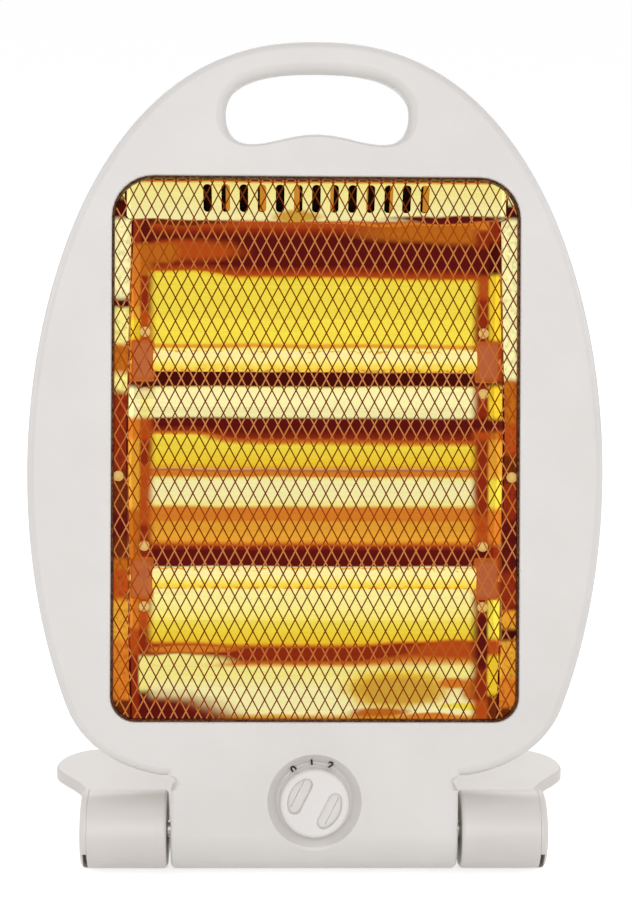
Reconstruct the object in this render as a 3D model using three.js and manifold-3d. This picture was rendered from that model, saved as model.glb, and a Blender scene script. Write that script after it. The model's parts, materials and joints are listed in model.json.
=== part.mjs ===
// A free-standing quartz heater: an egg-shaped casing with a carrying hole, two quartz tubes in
// front of a folded reflector, a guard net, a rotary switch, and a foot that the casing tilts on.
//
// Millimetres, +Z up, the front faces -Y. Heights inside the casing are measured from a line just
// above the bottom of the hinge barrel, with the casing upright; up() turns them into the casing's z.

import * as THREE from "three";
import { mergeVertices } from "three/addons/utils/BufferGeometryUtils.js";
import Module from "manifold-3d";

const wasm = await Module();
wasm.setup();

// ---------------------------------------------------------------- driving dimensions

const lean = 15; // degrees that the casing leans back at rest
const clearance = 0.3; // left between pieces that touch
const past = 1; // how far a cutting tool runs past the face that it opens

const hinge = {
  radius: 18, // barrel and hubs
  drop: 1.4, // how far the barrel hangs below the heights' zero
  barrelLength: 131.6,
  sideGap: 1.9, // between the barrel's end and a hub
  barrelWall: 2.4,
  hubLength: 36.4,
  hubWall: 2.6,
  capLength: 3,
  capRound: 2.4,
};

const casing = {
  halfWidth: 132,
  halfHeight: 197.7,
  powerAcross: 2.32, // of the superellipse, for x
  powerUp: 2, // and for z
  centre: 182.3,
  shoulder: 75, // height where the superellipse ends and the shoulder starts
  underside: 43.8,
  undersideHalf: 70,
  neckHalf: 63.2,
  wall: 2.2,
  depth: 20, // of the front shell
  rim: 4, // radius of the front edge
};

const cover = {
  lip: 6, // straight part of the edge behind the split
  swell: 34, // width of the edge over which the back swells out
  backDepth: 30, // from the split to the flat of the back
  handleDepth: 6, // at the carrying hole
  lowDepth: 12, // at the underside
  lowTop: 112, // height where the low taper ends
  highStart: 296, // height where the back starts to fall towards the handle
  highEnd: 334,
  wall: 2.2,
};

const handle = {
  halfWidth: 42,
  widest: 346,
  top: 365.1,
  sill: 337.8,
  lobe: 333.2,
  lobeX: 30,
  lobeRound: 8, // how far the sill's lobes run on sideways before they turn up
  lowRound: 7.5, // how far the sides are round below their widest place
  highRound: 15.5, // and above it
  bevelTop: 6.5,
  bevelSide: 4.7,
  bevelSill: 2,
  bevelDepth: 2.4,
  collar: 3.2,
};

const opening = { halfWidth: 93.5, top: 317.9, bottom: 68.3, topRadius: 19, bottomRadius: 11.5 };
const recess = { depth: 7, collar: 2 };

const net = { columns: 11, rows: 8, wire: 1.1, thick: 1, border: 4.5, smallestGap: 3 };

const dish = {
  sheet: 0.8,
  flange: 4.5, // hidden under the window's edge
  halfWidth: 86.4,
  endSlope: 0.4, // the end walls lean in by this much at the back
  foldTop: 297,
  foldTopDepth: 14,
  foldBottom: 94,
  foldBottomDepth: 14,
  ledge: 6, // depth of the short slope above the bottom fold
  ledgeRise: 7,
  troughDepth: 31,
  troughHalf: 21,
  throatDepth: 25.7, // where the upper trough meets the top fold's slope
  throatRise: 43, // above the upper tube
  creaseDepth: 17,
  creaseHalf: 12.5,
  creaseFoot: 24.8, // depth at the crease's two feet
  slotCount: 13,
  slotPitch: 8.4,
  slotWidth: 4,
  slotLength: 14.6,
  slotCentre: 309.2,
};

const tube = {
  radius: 5,
  wall: 1,
  upper: 234.3,
  lower: 132.7,
  depth: 15, // tube axis behind the dish's flange
  shown: 75.5, // half the length that shows between the end caps
  seat: 4, // length held in each end cap
  filament: 1.5,
  tail: 4.5, // filament beyond the end cap
};

const endCap = { length: 10, height: 19, depth: 14, round: 2.5 };
const bracket = { sheet: 1, foot: 8, screwOffset: 14.4 };
const smallScrew = { head: 2.4, headHeight: 1.4, shank: 1.3, length: 6 };

const dial = { height: 32.2, mouth: 21.2, floor: 17.4, depth: 5, wall: 1.4 };
const knob = {
  radius: 15.5,
  foot: 16.3,
  proud: 5.8,
  footGap: 0.6,
  round: 1.6,
  footHeight: 2, // of the flared foot
  socket: 6, // depth of the hole for the shaft
  barHalf: 4.4, // of the bar left between the two finger hollows
  fingerRadius: 12.4,
  fingerDepth: 4.2,
  pointsAt: 27, // degrees clockwise from straight up
};
const shaft = { radius: 3, length: 15 };
const rotarySwitch = { width: 30, height: 24, depth: 12, offset: 4, wall: 2 };

const foot = {
  height: 5.5,
  skin: 2.6, // top wall and rim of the hollow plate
  rib: 2.4, // along its middle
  waist: 109,
  flareStart: 84,
  flare: 130,
  flareDepth: 117,
  cornerHalf: 112,
  cornerDepth: 139,
  rear: 146,
  slotDepth: 42, // the plate between the hubs starts here, from the hubs' front
  slotRound: 8,
};
const pad = {
  radius: 6,
  height: 2,
  proud: 0.8,
  frontHalf: 86,
  frontDepth: 24, // behind the hubs' front
  rearHalf: 92,
  rearDepth: 127,
};

const pin = { radius: 4, head: 7.5, headHeight: 3, inBarrel: 11 };
const spring = { radius: 7.2, thick: 1.2, dish: 1.6 };
const capNotch = { width: 2.4, inward: 8, outward: 1, drop: 9.9 }; // for prying a hub's cap off

const casingScrew = { head: 3.2, headHeight: 2, shank: 1.5, length: 15, boss: 4.2, sleeve: 5.6, seat: 4 };
const casingScrewPlaces = [
  { name: "top", inward: 28.7, height: 334 }, // inward from the casing's edge at that height
  { name: "middle", inward: 17.4, height: 226 },
  { name: "bottom", inward: 17.6, height: 56 },
];
const dishScrew = { inward: 2.9, height: 180.5, post: 3 }; // inward from the window's edge

const vent = { half: 62, width: 4, pitch: 9, count: 6, upperStart: 222, lowerStart: 122 };
const gland = {
  half: 58,
  height: 72,
  bore: 4.2,
  neck: 5.8,
  flange: 8.5,
  flangeHeight: 2.5,
  length: 9,
  seat: 14, // its flat seat, behind the split
};

const terminalBlock = { width: 34, height: 11, depth: 14, x: -42 };
const tiltSwitch = { width: 22, height: 12, depth: 14, x: 40 };
const cutout = { radius: 8, height: 9, flange: 3.6, cap: 6.4 };
const lead = {
  radius: 1.2,
  upperOut: 6, // outside the dish's flange
  lowerOut: 0.5,
  apart: 6, // each side of a terminal's middle
  switchApart: 8, // between the two that enter the switch
  drop: 5, // straight end above a terminal
};

// ---------------------------------------------------------------- places worked out from them

const front = -hinge.radius; // the casing's front plane
const split = front + casing.depth; // where the two shells meet
const barrelHalf = hinge.barrelLength / 2;
const hubStart = barrelHalf + hinge.sideGap;
const hubEnd = hubStart + hinge.hubLength;
const netFront = front + recess.depth + clearance;
const dishFront = netFront + net.thick + clearance;
const tubeY = dishFront + tube.depth;
const capStart = tube.shown;
const capEnd = tube.shown + endCap.length;
const dishScrewHalf = opening.halfWidth - dishScrew.inward;

/** Turns a height into z from the hinge axis. */
const up = (height) => height - hinge.radius + hinge.drop;

/** Smooth step from 0 at a to 1 at b. */
const ease = (value, a, b) => THREE.MathUtils.smoothstep(value, a, b);

// ---------------------------------------------------------------- solids

/** Welds a geometry's shared corners, drops its empty triangles and turns its faces outward. */
function weld(geometry) {
  const bare = new THREE.BufferGeometry();
  bare.setAttribute("position", geometry.getAttribute("position"));
  bare.setIndex(geometry.index);
  const merged = mergeVertices(bare, 1e-4);
  const points = merged.getAttribute("position");
  const corners = merged.index.array;
  const kept = [];
  for (let i = 0; i < corners.length; i += 3) {
    const [a, b, c] = corners.slice(i, i + 3);
    if (a !== b && b !== c && c !== a) kept.push([a, b, c]);
  }
  const at = (i) => new THREE.Vector3().fromBufferAttribute(points, i);
  const volume = kept.reduce((sum, [a, b, c]) => sum + at(a).dot(at(b).cross(at(c))), 0);
  merged.setIndex(kept.flatMap(([a, b, c]) => (volume < 0 ? [a, c, b] : [a, b, c])));
  return merged;
}

/** A geometry as a solid that can be joined and cut. */
function solid(geometry) {
  const welded = weld(geometry);
  return new wasm.Manifold(
    new wasm.Mesh({
      numProp: 3,
      vertProperties: new Float32Array(welded.getAttribute("position").array),
      triVerts: new Uint32Array(welded.index.array),
    }),
  );
}

/** A solid as a geometry again. */
function skin(body) {
  const mesh = body.getMesh();
  const geometry = new THREE.BufferGeometry();
  geometry.setAttribute("position", new THREE.BufferAttribute(mesh.vertProperties, 3));
  geometry.setIndex(new THREE.BufferAttribute(mesh.triVerts, 1));
  geometry.computeVertexNormals();
  return geometry;
}

const join = (...bodies) => bodies.reduce((sum, body) => sum.add(body));
const cut = (body, ...tools) => tools.reduce((rest, tool) => rest.subtract(tool), body);

/** A box between two corners. */
function block(low, high) {
  const size = high.map((value, i) => value - low[i]);
  const middle = high.map((value, i) => (value + low[i]) / 2);
  return solid(new THREE.BoxGeometry(...size).translate(...middle));
}

/** A shape drawn in x and z, as a plate between two depths. */
function plate(shape, yFront, yRear, curveSegments = 6) {
  const options = { depth: yRear - yFront, bevelEnabled: false, curveSegments };
  return solid(new THREE.ExtrudeGeometry(shape, options).rotateX(Math.PI / 2).translate(0, yRear, 0));
}

/** A shape drawn in y and z, as a bar between two places along x. */
function bar(shape, xStart, xEnd, curveSegments = 6) {
  const options = { depth: xEnd - xStart, bevelEnabled: false, curveSegments };
  const turn = new THREE.Matrix4().makeBasis(
    new THREE.Vector3(0, 1, 0),
    new THREE.Vector3(0, 0, 1),
    new THREE.Vector3(1, 0, 0),
  );
  return solid(new THREE.ExtrudeGeometry(shape, options).applyMatrix4(turn).translate(xStart, 0, 0));
}

/** A shape drawn in x and y, as a slab between two heights. */
function slab(shape, zLow, zHigh, curveSegments = 6) {
  const options = { depth: zHigh - zLow, bevelEnabled: false, curveSegments };
  return solid(new THREE.ExtrudeGeometry(shape, options).translate(0, 0, zLow));
}

/** A turned piece: pairs of radius and place along its axis, which runs along y. */
function turned(profile, sides = 24) {
  const points = profile.map(([radius, along]) => new THREE.Vector2(radius, along));
  return solid(new THREE.LatheGeometry(points, sides));
}

/** A plain rod along y between two depths. */
const rodY = (radius, start, end, sides = 12) =>
  turned([[0, start], [radius, start], [radius, end], [0, end]], sides);

/** A turned piece whose axis is laid along x. */
const alongX = (body) => body.rotate([0, 0, -90]);

/** A plain rod along x between two places. */
const rodX = (radius, start, end, sides = 24) => alongX(rodY(radius, start, end, sides));

/** Triangles over a mirrored ring, in level rows from its right half to its left half. */
function rowsAcross(count) {
  const rows = [];
  for (let i = 0; i < Math.floor(count / 2); i += 1) {
    const left = count - 1 - i;
    rows.push([i, i + 1, left], [i + 1, left - 1, left]);
  }
  return rows.filter(([a, b, c]) => a !== b && b !== c && a !== c);
}

/** A solid through rings of equal count, the foremost first; a bowed last ring is capped in rows. */
function loft(rings, bowed = false) {
  const count = rings[0].length;
  const position = rings.flat().flatMap((point) => [point.x, point.y, point.z]);
  const index = [];
  for (let ring = 0; ring + 1 < rings.length; ring += 1) {
    for (let i = 0; i < count; i += 1) {
      const a = ring * count + i;
      const b = ring * count + ((i + 1) % count);
      index.push(a, a + count, b, b, a + count, b + count);
    }
  }
  const flat = (ring) => ring.map((point) => new THREE.Vector2(point.x, point.z));
  const last = (rings.length - 1) * count;
  for (const [a, b, c] of THREE.ShapeUtils.triangulateShape(flat(rings[0]), [])) index.push(a, b, c);
  const rear = bowed ? rowsAcross(count) : THREE.ShapeUtils.triangulateShape(flat(rings.at(-1)), []);
  for (const [a, b, c] of rear) index.push(last + a, last + c, last + b);
  const geometry = new THREE.BufferGeometry();
  geometry.setAttribute("position", new THREE.Float32BufferAttribute(position, 3));
  geometry.setIndex(index);
  return solid(geometry);
}

// ---------------------------------------------------------------- outlines, as points in x and z

/** Moves an outline inward along its own normals; it runs anticlockwise seen from the front. */
function inset(outline, distance) {
  const count = outline.length;
  return outline.map((point, i) => {
    const along = outline[(i + 1) % count].clone().sub(outline[(i + count - 1) % count]).normalize();
    return new THREE.Vector2(point.x - along.y * distance, point.y + along.x * distance);
  });
}

/** Copies the right half of an outline, from bottom to top, to the left. */
function mirrored(rightHalf) {
  const leftHalf = rightHalf.map((point) => new THREE.Vector2(-point.x, point.y)).reverse();
  return [...rightHalf, ...leftHalf].filter((point, i, all) => point.distanceTo(all.at(i - 1)) > 1e-3);
}

/** The casing's egg shape: a superellipse above two rounded shoulders. */
function casingOutline(eggSteps = 22, shoulderSteps = 5) {
  const { halfWidth, halfHeight, powerAcross, powerUp, centre, shoulder, underside, undersideHalf } = casing;
  const place = (angle) =>
    new THREE.Vector2(
      halfWidth * Math.cos(angle) ** (2 / powerAcross),
      up(centre) + halfHeight * Math.sign(angle) * Math.abs(Math.sin(angle)) ** (2 / powerUp),
    );
  const startAngle = -Math.asin(((centre - shoulder) / halfHeight) ** (powerUp / 2));
  const start = place(startAngle);
  const slope = start.clone().sub(place(startAngle + 0.01)).normalize();
  const drop = shoulder - underside;
  const curve = new THREE.CubicBezierCurve(
    new THREE.Vector2(undersideHalf, up(underside)),
    new THREE.Vector2(undersideHalf + drop * 0.65, up(underside) + drop * 0.1),
    start.clone().addScaledVector(slope, drop * 0.58),
    start,
  );
  const right = curve.getPoints(shoulderSteps);
  for (let i = 1; i <= eggSteps; i += 1) {
    right.push(place(startAngle + ((Math.PI / 2 - startAngle) * i) / eggSteps));
  }
  return mirrored(right);
}

/** The carrying hole: an arch over a sill that sags at both ends; grow widens it evenly. */
function handleOutline({ top = 0, side = 0, sill = 0 } = {}, steps = 5) {
  const { halfWidth, widest, lobe, lobeX, lobeRound, lowRound, highRound } = handle;
  const path = new THREE.Path();
  const right = halfWidth + side;
  const low = up(lobe - sill);
  path.moveTo(0, up(handle.sill - sill));
  path.bezierCurveTo(lobeX * 0.4, up(handle.sill - sill), lobeX * 0.7, low, lobeX, low);
  path.bezierCurveTo(lobeX + side + lobeRound, low, right, up(widest - lowRound), right, up(widest));
  const high = up(handle.top + top);
  path.bezierCurveTo(right, up(widest + highRound + top / 2), right * 0.62, high, 0, high);
  return mirrored(path.getPoints(steps));
}

/** A rectangle with its own radius at the top and at the bottom corners, from low to high. */
function roundedRectangle(halfWidth, low, high, lowRadius, highRadius, steps = 3) {
  const path = new THREE.Path();
  path.moveTo(0, low);
  path.lineTo(halfWidth - lowRadius, low);
  path.absarc(halfWidth - lowRadius, low + lowRadius, lowRadius, -Math.PI / 2, 0);
  path.absarc(halfWidth - highRadius, high - highRadius, highRadius, 0, Math.PI / 2);
  path.lineTo(0, high);
  return mirrored(path.getPoints(steps));
}

/** The window's outline, grown by a margin. */
const windowOutline = (margin) =>
  roundedRectangle(
    opening.halfWidth + margin,
    up(opening.bottom - margin),
    up(opening.top + margin),
    opening.bottomRadius + margin,
    opening.topRadius + margin,
  );

/** An outline of x and z points as a ring at one depth. */
const ringAt = (outline, y) => outline.map((point) => new THREE.Vector3(point.x, y, point.y));

/** A straight-sided solid over an outline. */
const prism = (outline, yFront, yRear) => loft([ringAt(outline, yFront), ringAt(outline, yRear)]);

// ---------------------------------------------------------------- the two shells

const egg = casingOutline();

/** The half of the barrel and neck that lies in front of the split, or behind it. */
function barrelHalfSolid(radius, half, neckHalf, inFront) {
  const roof = up(casing.underside) + casing.wall + past;
  const neckRear = split + cover.lip;
  const neckFront = radius === hinge.radius ? front : front + casing.wall;
  const whole = join(
    rodX(radius, -half, half, 32),
    block([-neckHalf, neckFront, 0], [neckHalf, neckRear, roof]),
  );
  const far = 3 * hinge.radius;
  const keep = inFront
    ? block([-barrelHalf - past, -far, -far], [barrelHalf + past, split, far])
    : block([-barrelHalf - past, split + clearance, -far], [barrelHalf + past, far, far]);
  return whole.intersect(keep);
}

/** The hollow inside the barrel and neck, closed by an end wall at each side. */
function barrelCavity() {
  const radius = hinge.radius - hinge.barrelWall;
  const half = barrelHalf - 2 * hinge.barrelWall;
  const neckHalf = casing.neckHalf - hinge.barrelWall;
  const top = up(casing.underside) + casing.wall + 2 * past;
  return join(
    rodX(radius, -half, half, 32),
    block([-neckHalf, front + casing.wall, 0], [neckHalf, split + cover.lip - cover.wall, top]),
  );
}

/** The bearing holes in the barrel's two ends. */
const pinHoles = () => rodX(pin.radius + clearance, -barrelHalf - past, barrelHalf + past, 20);

/** Half the casing's width at a height. */
function casingHalfAt(height) {
  const right = egg.filter((point) => point.x > 0);
  const above = right.findIndex((point) => point.y > up(height));
  const [low, high] = [right[above - 1], right[above]];
  return THREE.MathUtils.mapLinear(up(height), low.y, high.y, low.x, high.x);
}

/** Every place of a casing screw, on both sides. */
const screwPlaces = casingScrewPlaces.flatMap(({ name, inward, height }) => [
  { name: `${name}_left`, x: inward - casingHalfAt(height), z: up(height) },
  { name: `${name}_right`, x: casingHalfAt(height) - inward, z: up(height) },
]);

function makeFrontCasing() {
  const rings = [];
  for (let step = 0; step <= 4; step += 1) {
    const angle = (step / 4) * (Math.PI / 2);
    const depth = casing.rim * (1 - Math.cos(angle));
    rings.push(ringAt(inset(egg, casing.rim * (1 - Math.sin(angle))), front + depth));
  }
  rings.push(ringAt(egg, split));
  const innerFront = front + casing.wall;
  const inner = prism(inset(egg, casing.wall), innerFront, split + past);
  const bosses = screwPlaces.map(({ x, z }) =>
    rodY(casingScrew.boss, innerFront - past / 2, split).translate([x, 0, z]),
  );
  const dialCup = turned([
    [0, front],
    [dial.mouth + dial.wall, front],
    [dial.floor + dial.wall, front + dial.depth + dial.wall],
    [0, front + dial.depth + dial.wall],
  ], 32).translate([0, 0, up(dial.height)]);
  const dialDish = turned([
    [0, front - past],
    [dial.mouth + (past * (dial.mouth - dial.floor)) / dial.depth, front - past],
    [dial.floor, front + dial.depth],
    [0, front + dial.depth],
  ], 32).translate([0, 0, up(dial.height)]);
  const shaftHole = rodY(shaft.radius + 1, front, split).translate([0, 0, up(dial.height)]);
  const pilots = screwPlaces.map(({ x, z }) =>
    rodY(casingScrew.shank + clearance, innerFront + casing.wall, split + past).translate([x, 0, z]),
  );
  const shell = join(
    cut(loft(rings), inner),
    prism(inset(handleOutline(), -handle.collar), innerFront - past / 2, split),
    prism(windowOutline(recess.collar), innerFront - past / 2, front + recess.depth),
    barrelHalfSolid(hinge.radius, barrelHalf, casing.neckHalf, true),
  );
  const bevel = handleOutline({ top: handle.bevelTop, side: handle.bevelSide, sill: handle.bevelSill });
  const hollow = cut(
    shell,
    barrelCavity(),
    prism(windowOutline(0), front - past, front + recess.depth + past),
    loft([ringAt(bevel, front - 0.01), ringAt(handleOutline(), front + handle.bevelDepth)]),
    prism(handleOutline(), front, split + past),
  );
  const withBosses = join(hollow, dialCup, ...bosses);
  return cut(withBosses, dialDish, shaftHole, pinHoles(), ...pilots);
}

/** How far the cover's back stands behind the split, at a height above the barrel's bottom. */
function backDepthAt(height) {
  const { lowDepth, backDepth, handleDepth, lowTop, highStart, highEnd } = cover;
  const low = THREE.MathUtils.lerp(lowDepth, backDepth, ease(height, casing.underside, lowTop));
  return THREE.MathUtils.lerp(low, handleDepth, ease(height, highStart, highEnd));
}

/** The cover's outer form, or its inner form when thinned by a wall. */
function coverForm(wall = 0) {
  const start = split + clearance - (wall > 0 ? past : 0);
  const rings = [ringAt(inset(egg, wall), start)];
  const steps = 5;
  for (let step = 0; step <= steps; step += 1) {
    const angle = (step / steps) * (Math.PI / 2);
    const moved = wall + cover.swell * (1 - Math.cos(angle));
    const outline = inset(egg, moved);
    rings.push(
      outline.map((point) => {
        const full = backDepthAt(point.y + hinge.radius - hinge.drop);
        const lip = Math.min(cover.lip, full) * 0.8;
        return new THREE.Vector3(point.x, split + lip + (full - lip) * Math.sin(angle) - wall, point.y);
      }),
    );
  }
  return loft(rings, true);
}

function makeRearCover() {
  const far = split + cover.backDepth + past;
  const outer = coverForm();
  const inner = coverForm(cover.wall);
  const sleeves = screwPlaces.map(({ x, z }) =>
    rodY(casingScrew.sleeve, split + clearance, far).translate([x, 0, z]),
  );
  const post = (side) =>
    rodY(dishScrew.post, dishFront + dish.sheet + clearance, split + cover.backDepth - past, 8)
      .translate([side * dishScrewHalf, 0, up(dishScrew.height)]);
  const handleCollar = prism(inset(handleOutline(), -handle.collar), split + clearance, far);
  const seats = screwPlaces.map(({ x, z }) =>
    rodY(casingScrew.head + clearance, split + casingScrew.seat, far).translate([x, 0, z]),
  );
  const holes = screwPlaces.map(({ x, z }) =>
    rodY(casingScrew.shank + clearance, split, far).translate([x, 0, z]),
  );
  const slots = [vent.upperStart, vent.lowerStart].flatMap((start) =>
    Array.from({ length: vent.count }, (_, i) => {
      const low = up(start + i * vent.pitch);
      return block([-vent.half, split + cover.backDepth / 2, low], [vent.half, far, low + vent.width]);
    }),
  );
  const atGland = [gland.half, 0, up(gland.height)];
  const glandSeat = split + gland.seat;
  const cupRadius = gland.flange + 1 + cover.wall;
  const glandCup = rodY(cupRadius, glandSeat - cover.wall, far, 20).translate(atGland);
  const glandHole = join(
    rodY(gland.neck + clearance, split + past, glandSeat + past, 20),
    rodY(gland.flange + 1, glandSeat, far, 20),
  ).translate(atGland);
  const shell = cut(outer, inner);
  const inside = join(...sleeves, handleCollar, glandCup).intersect(outer);
  const body = join(shell, inside, barrelHalfSolid(hinge.radius, barrelHalf, casing.neckHalf, false));
  const hollow = cut(
    body,
    barrelCavity(),
    prism(handleOutline(), split, far),
    pinHoles(),
    glandHole,
    ...slots,
  );
  const pilots = [-1, 1].map((side) =>
    rodY(smallScrew.shank + clearance, dishFront, dishFront + smallScrew.length + past, 8)
      .translate([side * dishScrewHalf, 0, up(dishScrew.height)]),
  );
  return cut(join(hollow, post(-1), post(1)), ...seats, ...holes, ...pilots);
}

// ---------------------------------------------------------------- guard net and reflector

/** Drops an outline's points that coincide with a neighbour or lie straight between two. */
function cornersOnly(outline) {
  const apart = outline.filter((point, i, all) => point.distanceTo(all.at(i - 1)) > 0.05);
  return apart.filter((point, i, all) => {
    const before = point.clone().sub(all.at(i - 1)).normalize();
    const after = all[(i + 1) % all.length].clone().sub(point).normalize();
    return Math.abs(before.cross(after)) > 1e-3;
  });
}

/** Clips a polygon by a convex outline that runs anticlockwise. */
function clip(polygon, convex) {
  let rest = polygon;
  convex.forEach((start, i) => {
    const along = convex[(i + 1) % convex.length].clone().sub(start);
    const side = (point) => along.cross(point.clone().sub(start));
    const kept = [];
    rest.forEach((point, k) => {
      const next = rest[(k + 1) % rest.length];
      const here = side(point);
      const there = side(next);
      if (here >= 0) kept.push(point);
      if (here * there < 0) kept.push(point.clone().lerp(next, here / (here - there)));
    });
    rest = kept;
  });
  return cornersOnly(rest);
}

/** The guard net: diamond gaps between crossing wires, inside a flat border. */
function makeNet() {
  const wide = (2 * opening.halfWidth) / net.columns;
  const high = (opening.top - opening.bottom) / net.rows;
  const middle = up((opening.top + opening.bottom) / 2);
  const shrink = 1 - (net.wire * Math.hypot(wide, high)) / (wide * high);
  const frame = windowOutline(-net.wire / 2);
  const gaps = [];
  for (let row = -net.rows; row <= net.rows; row += 1) {
    for (let column = -net.columns; column <= net.columns; column += 1) {
      if ((row + column) % 2 !== 0) continue;
      const x = (column * wide) / 2;
      const z = middle + (row * high) / 2;
      const diamond = [
        new THREE.Vector2(x + (wide / 2) * shrink, z),
        new THREE.Vector2(x, z + (high / 2) * shrink),
        new THREE.Vector2(x - (wide / 2) * shrink, z),
        new THREE.Vector2(x, z - (high / 2) * shrink),
      ];
      const gap = clip(diamond, frame);
      if (gap.length > 2 && Math.abs(THREE.ShapeUtils.area(gap)) > net.smallestGap) {
        gaps.push(prism(gap, netFront - past, netFront + net.thick + past));
      }
    }
  }
  return cut(prism(windowOutline(net.border), netFront, netFront + net.thick), wasm.Manifold.union(gaps));
}

/** The dish's section from top to bottom, as points of depth behind its flange and height. */
function dishSection() {
  const crease = (tube.upper + tube.lower) / 2;
  return [
    [0, opening.top],
    [dish.foldTopDepth, dish.foldTop],
    [dish.throatDepth, tube.upper + dish.throatRise],
    [dish.troughDepth, tube.upper + dish.troughHalf],
    [dish.troughDepth, tube.upper - dish.troughHalf],
    [dish.creaseFoot, crease + dish.creaseHalf],
    [dish.creaseDepth, crease],
    [dish.creaseFoot, crease - dish.creaseHalf],
    [dish.troughDepth, tube.lower + dish.troughHalf],
    [dish.troughDepth, tube.lower - dish.troughHalf],
    [dish.foldBottomDepth + dish.ledge, dish.foldBottom + dish.ledgeRise],
    [dish.foldBottomDepth, dish.foldBottom],
    [0, opening.bottom],
  ];
}

/** The dish's inside as a solid, or its outside when grown by the sheet. */
function dishForm(grow) {
  const section = dishSection().map(([depth, height]) => new THREE.Vector2(dishFront + depth, up(height)));
  const closed = inset([...section].reverse(), 0);
  const outline = grow > 0 ? inset(closed, -grow) : closed;
  const frontY = dishFront - (grow > 0 ? 0 : past);
  const high = up(opening.top) + grow;
  const low = up(opening.bottom) - grow;
  const points = outline.slice(1, -1);
  const shape = new THREE.Shape([new THREE.Vector2(frontY, low), new THREE.Vector2(dishFront, low)]
    .concat(points, [new THREE.Vector2(dishFront, high), new THREE.Vector2(frontY, high)]));
  const half = dish.halfWidth + grow;
  const back = dishFront + dish.troughDepth + grow;
  const ends = new THREE.Shape([
    new THREE.Vector2(-half, frontY),
    new THREE.Vector2(half, frontY),
    new THREE.Vector2(half - dish.endSlope, back),
    new THREE.Vector2(-half + dish.endSlope, back),
  ]);
  return bar(shape, -half, half).intersect(slab(ends, low - past, high + past));
}

/** Turns every tube end into its side and height. */
const tubeEnds = [
  { name: "upper_left", side: -1, height: tube.upper },
  { name: "upper_right", side: 1, height: tube.upper },
  { name: "lower_left", side: -1, height: tube.lower },
  { name: "lower_right", side: 1, height: tube.lower },
];

function makeReflector() {
  const flange = plate(new THREE.Shape(windowOutline(dish.flange)), dishFront, dishFront + dish.sheet);
  const slope = Math.atan2(dish.foldTopDepth, opening.top - dish.foldTop);
  const slots = Array.from({ length: dish.slotCount }, (_, i) => {
    const x = (i - (dish.slotCount - 1) / 2) * dish.slotPitch;
    const half = [dish.slotWidth / 2, dish.sheet * 3, dish.slotLength / 2];
    const depth = ((opening.top - dish.slotCentre) / (opening.top - dish.foldTop)) * dish.foldTopDepth;
    return block(half.map((value) => -value), half)
      .rotate([(slope * 180) / Math.PI, 0, 0])
      .translate([x, dishFront + depth, up(dish.slotCentre)]);
  });
  const tails = tubeEnds.map(({ side, height }) =>
    rodX(tube.filament + 1.5, side * (dish.halfWidth - 4), side * (dish.halfWidth + 4), 8)
      .translate([0, tubeY, up(height)]),
  );
  const screwHoles = [-1, 1].map((side) =>
    rodY(smallScrew.shank + clearance, dishFront - past, dishFront + dish.sheet + past, 8)
      .translate([side * dishScrewHalf, 0, up(dishScrew.height)]),
  );
  const trough = dishFront + dish.troughDepth;
  const footHoles = tubeEnds.flatMap(({ side, height }) =>
    [-1, 1].map((way) =>
      rodY(smallScrew.shank + clearance, trough - past, trough + 3, 8)
        .translate([side * (capStart + endCap.length / 2), 0, up(height) + way * bracket.screwOffset]),
    ),
  );
  const holes = [...slots, ...tails, ...screwHoles, ...footHoles];
  return cut(join(flange, dishForm(dish.sheet)), dishForm(0), ...holes);
}

// ---------------------------------------------------------------- tubes and what holds them

function makeTube() {
  const half = tube.shown + tube.seat;
  const bore = tube.radius - tube.wall;
  const wall = [[bore, -half], [tube.radius, -half], [tube.radius, half], [bore, half], [bore, -half]];
  return alongX(turned(wall, 16));
}

function makeFilament() {
  const half = capEnd + tube.tail;
  return rodX(tube.filament, -half, half, 10);
}

function makeEndCap(side) {
  const half = endCap.height / 2;
  const outline = roundedRectangle(endCap.depth / 2, -half, half, endCap.round, endCap.round, 1);
  const body = bar(new THREE.Shape(outline), capStart, capEnd);
  const seat = rodX(tube.radius + clearance, capStart - past, capStart + tube.seat + clearance, 16);
  const bore = rodX(tube.filament + clearance, capStart - past, capEnd + past, 12);
  const cap = cut(body, seat, bore);
  return side > 0 ? cap : cap.mirror([1, 0, 0]);
}

/** A hat-shaped strip that carries one end cap in front of the dish's back. */
function makeBracket(side) {
  const top = endCap.depth / 2 + clearance;
  const base = dishFront + dish.troughDepth - tubeY - clearance;
  const half = endCap.height / 2;
  const inner = half - bracket.sheet;
  const outerFoot = half + bracket.foot;
  const shape = new THREE.Shape([
    new THREE.Vector2(top, -half),
    new THREE.Vector2(base - bracket.sheet, -half),
    new THREE.Vector2(base - bracket.sheet, -outerFoot),
    new THREE.Vector2(base, -outerFoot),
    new THREE.Vector2(base, -inner),
    new THREE.Vector2(top + bracket.sheet, -inner),
    new THREE.Vector2(top + bracket.sheet, inner),
    new THREE.Vector2(base, inner),
    new THREE.Vector2(base, outerFoot),
    new THREE.Vector2(base - bracket.sheet, outerFoot),
    new THREE.Vector2(base - bracket.sheet, half),
    new THREE.Vector2(top, half),
  ]);
  const x = side * (capStart + endCap.length / 2);
  const strip = bar(shape, x - endCap.length / 2, x + endCap.length / 2);
  const holes = [-1, 1].map((way) =>
    rodY(smallScrew.shank + clearance, base - 3, base + 3, 8).translate([x, 0, way * bracket.screwOffset]),
  );
  return cut(strip, ...holes);
}

/** A screw along y with its head in front of y = 0. */
function makeScrew({ head, headHeight, shank, length }) {
  return turned([
    [0, -headHeight],
    [head, -headHeight * 0.5],
    [head, 0],
    [shank, 0],
    [shank, length],
    [0, length],
  ], 8);
}

// ---------------------------------------------------------------- dial, knob and electrical parts

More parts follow.
